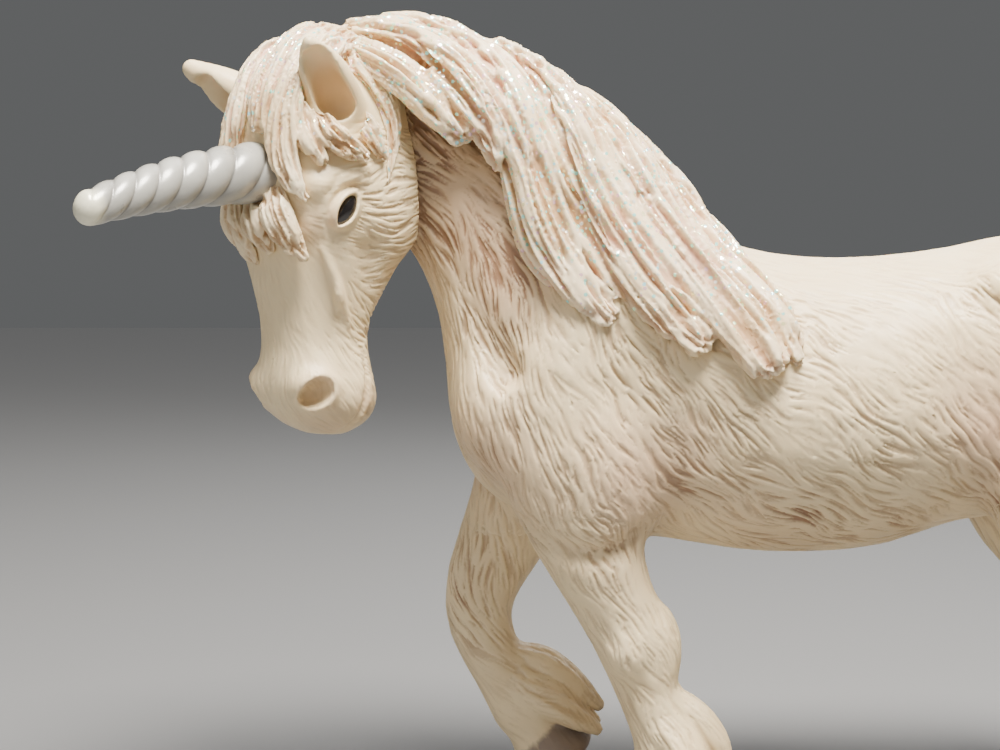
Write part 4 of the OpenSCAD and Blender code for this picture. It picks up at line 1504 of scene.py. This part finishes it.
def horn_material():
    """Pearl grey lacquer with painted shade in its grooves, and a bare cream tip."""
    s = Shader("pearl_horn")
    base = s.mix(s.patches(110.0, 0.0, 1.0, 3.0), HORN_GREY, HORN_LIGHT)
    # Painted shade darkens the grooves.
    base = s.mix(s.maths("MULTIPLY", s.value("groove"), 0.75, True), base, HORN_GROOVE_SHADE)
    return s.shade({"Base Color": s.mix(s.value("tip"), base, HORN_BARE),
                    "Roughness": s.patches(240.0, 0.26, 0.38),
                    "Normal": s.bump(s.noise(900.0, 3.0), 0.3, 0.0001),
                    "Metallic": 0.15, "Coat Weight": 0.35, "Coat Roughness": 0.15})


# Radii of an eye along its slit, across it and out of the head, and its extra bulge in front.
EYE_RADII = (2.55, 1.45, 1.15)
EYE_BULGE = 0.12
# How far the eye's middle lies behind the slit.
EYE_SINK = 1.05


def add_eye(node, side, material):
    """A flattened ball behind the slit, with a slight bulge in front."""
    slit, lean, out = slit_frame(side)
    across = np.cross(out, lean)
    middle = slit - EYE_SINK * out
    rings, sides = 40, 64
    t = math.pi * np.arange(1, rings)[:, None] / rings
    angle = -2 * math.pi * np.arange(sides)[None, :] / sides
    w = np.cos(t) * EYE_RADII[2] + EYE_BULGE * np.exp(-(t / 0.5) ** 2) + 0 * angle
    u = EYE_RADII[0] * np.sin(t) * np.cos(angle)
    v = EYE_RADII[1] * np.sin(t) * np.sin(angle)
    points = middle + u[..., None] * lean + v[..., None] * across + w[..., None] * out
    front = middle + (EYE_RADII[2] + EYE_BULGE) * out
    piece = ringed_mesh(node + "_bead", points, front, middle - EYE_RADII[2] * out)
    stands_for(piece, node, material)


EYE_BLACK = (0.004, 0.004, 0.005, 1)
EYE_BROWN = (0.02, 0.015, 0.012, 1)


def eye_material():
    """Black lacquer with a faint brown iris."""
    s = Shader("black_lacquer")
    return s.shade({"Base Color": s.mix(s.noise(600.0, 3.0), EYE_BLACK, EYE_BROWN),
                    "Roughness": s.patches(500.0, 0.08, 0.16),
                    "Coat Weight": 0.6, "Coat Roughness": 0.04})


add_camera()
add_studio()
vinyl = vinyl_material()
body, bare_body = cast_body(vinyl)
body_skin = body.triangles(bare_body)
head, head_values = cast_head(vinyl, body_skin)
head_skin = head.triangles(head_values)
cream = hair_material()
cast_hair("mane", Block((-52, -27, 54), (26, 21, 112), 0.3), CREST_LOCKS + LEFT_LOCKS + RIGHT_LOCKS,
          NECK_AXIS, cream, core=0.9, under=(body_skin, head_skin), glitter=mane_glitter, most=260_000)
cast_hair("forelock", Block((-70, -30, 72), (-26, 12, 112), 0.22),
          FRONT_TUFTS + SIDE_TUFTS + mirrored(SIDE_TUFTS), HEAD_AXIS, cream, core=1.2,
          under=(head_skin,), glitter=fading(86, 10, 0.8), most=140_000, place=from_head,
          depth=0.36, fold_blur=0.14, clear=EARS)
cast_hair("tail", Block((58, -12, 12), (90, 14, 84), 0.3), tail_locks(), [row[:3] for row in TAIL_PATH],
          cream, core=1.2, under=(body_skin,), glitter=fading(45, 20, 0.7), most=140_000, depth=0.5)
add_horn()
lacquer = eye_material()
add_eye("left_eye", 1, lacquer)
add_eye("right_eye", -1, lacquer)
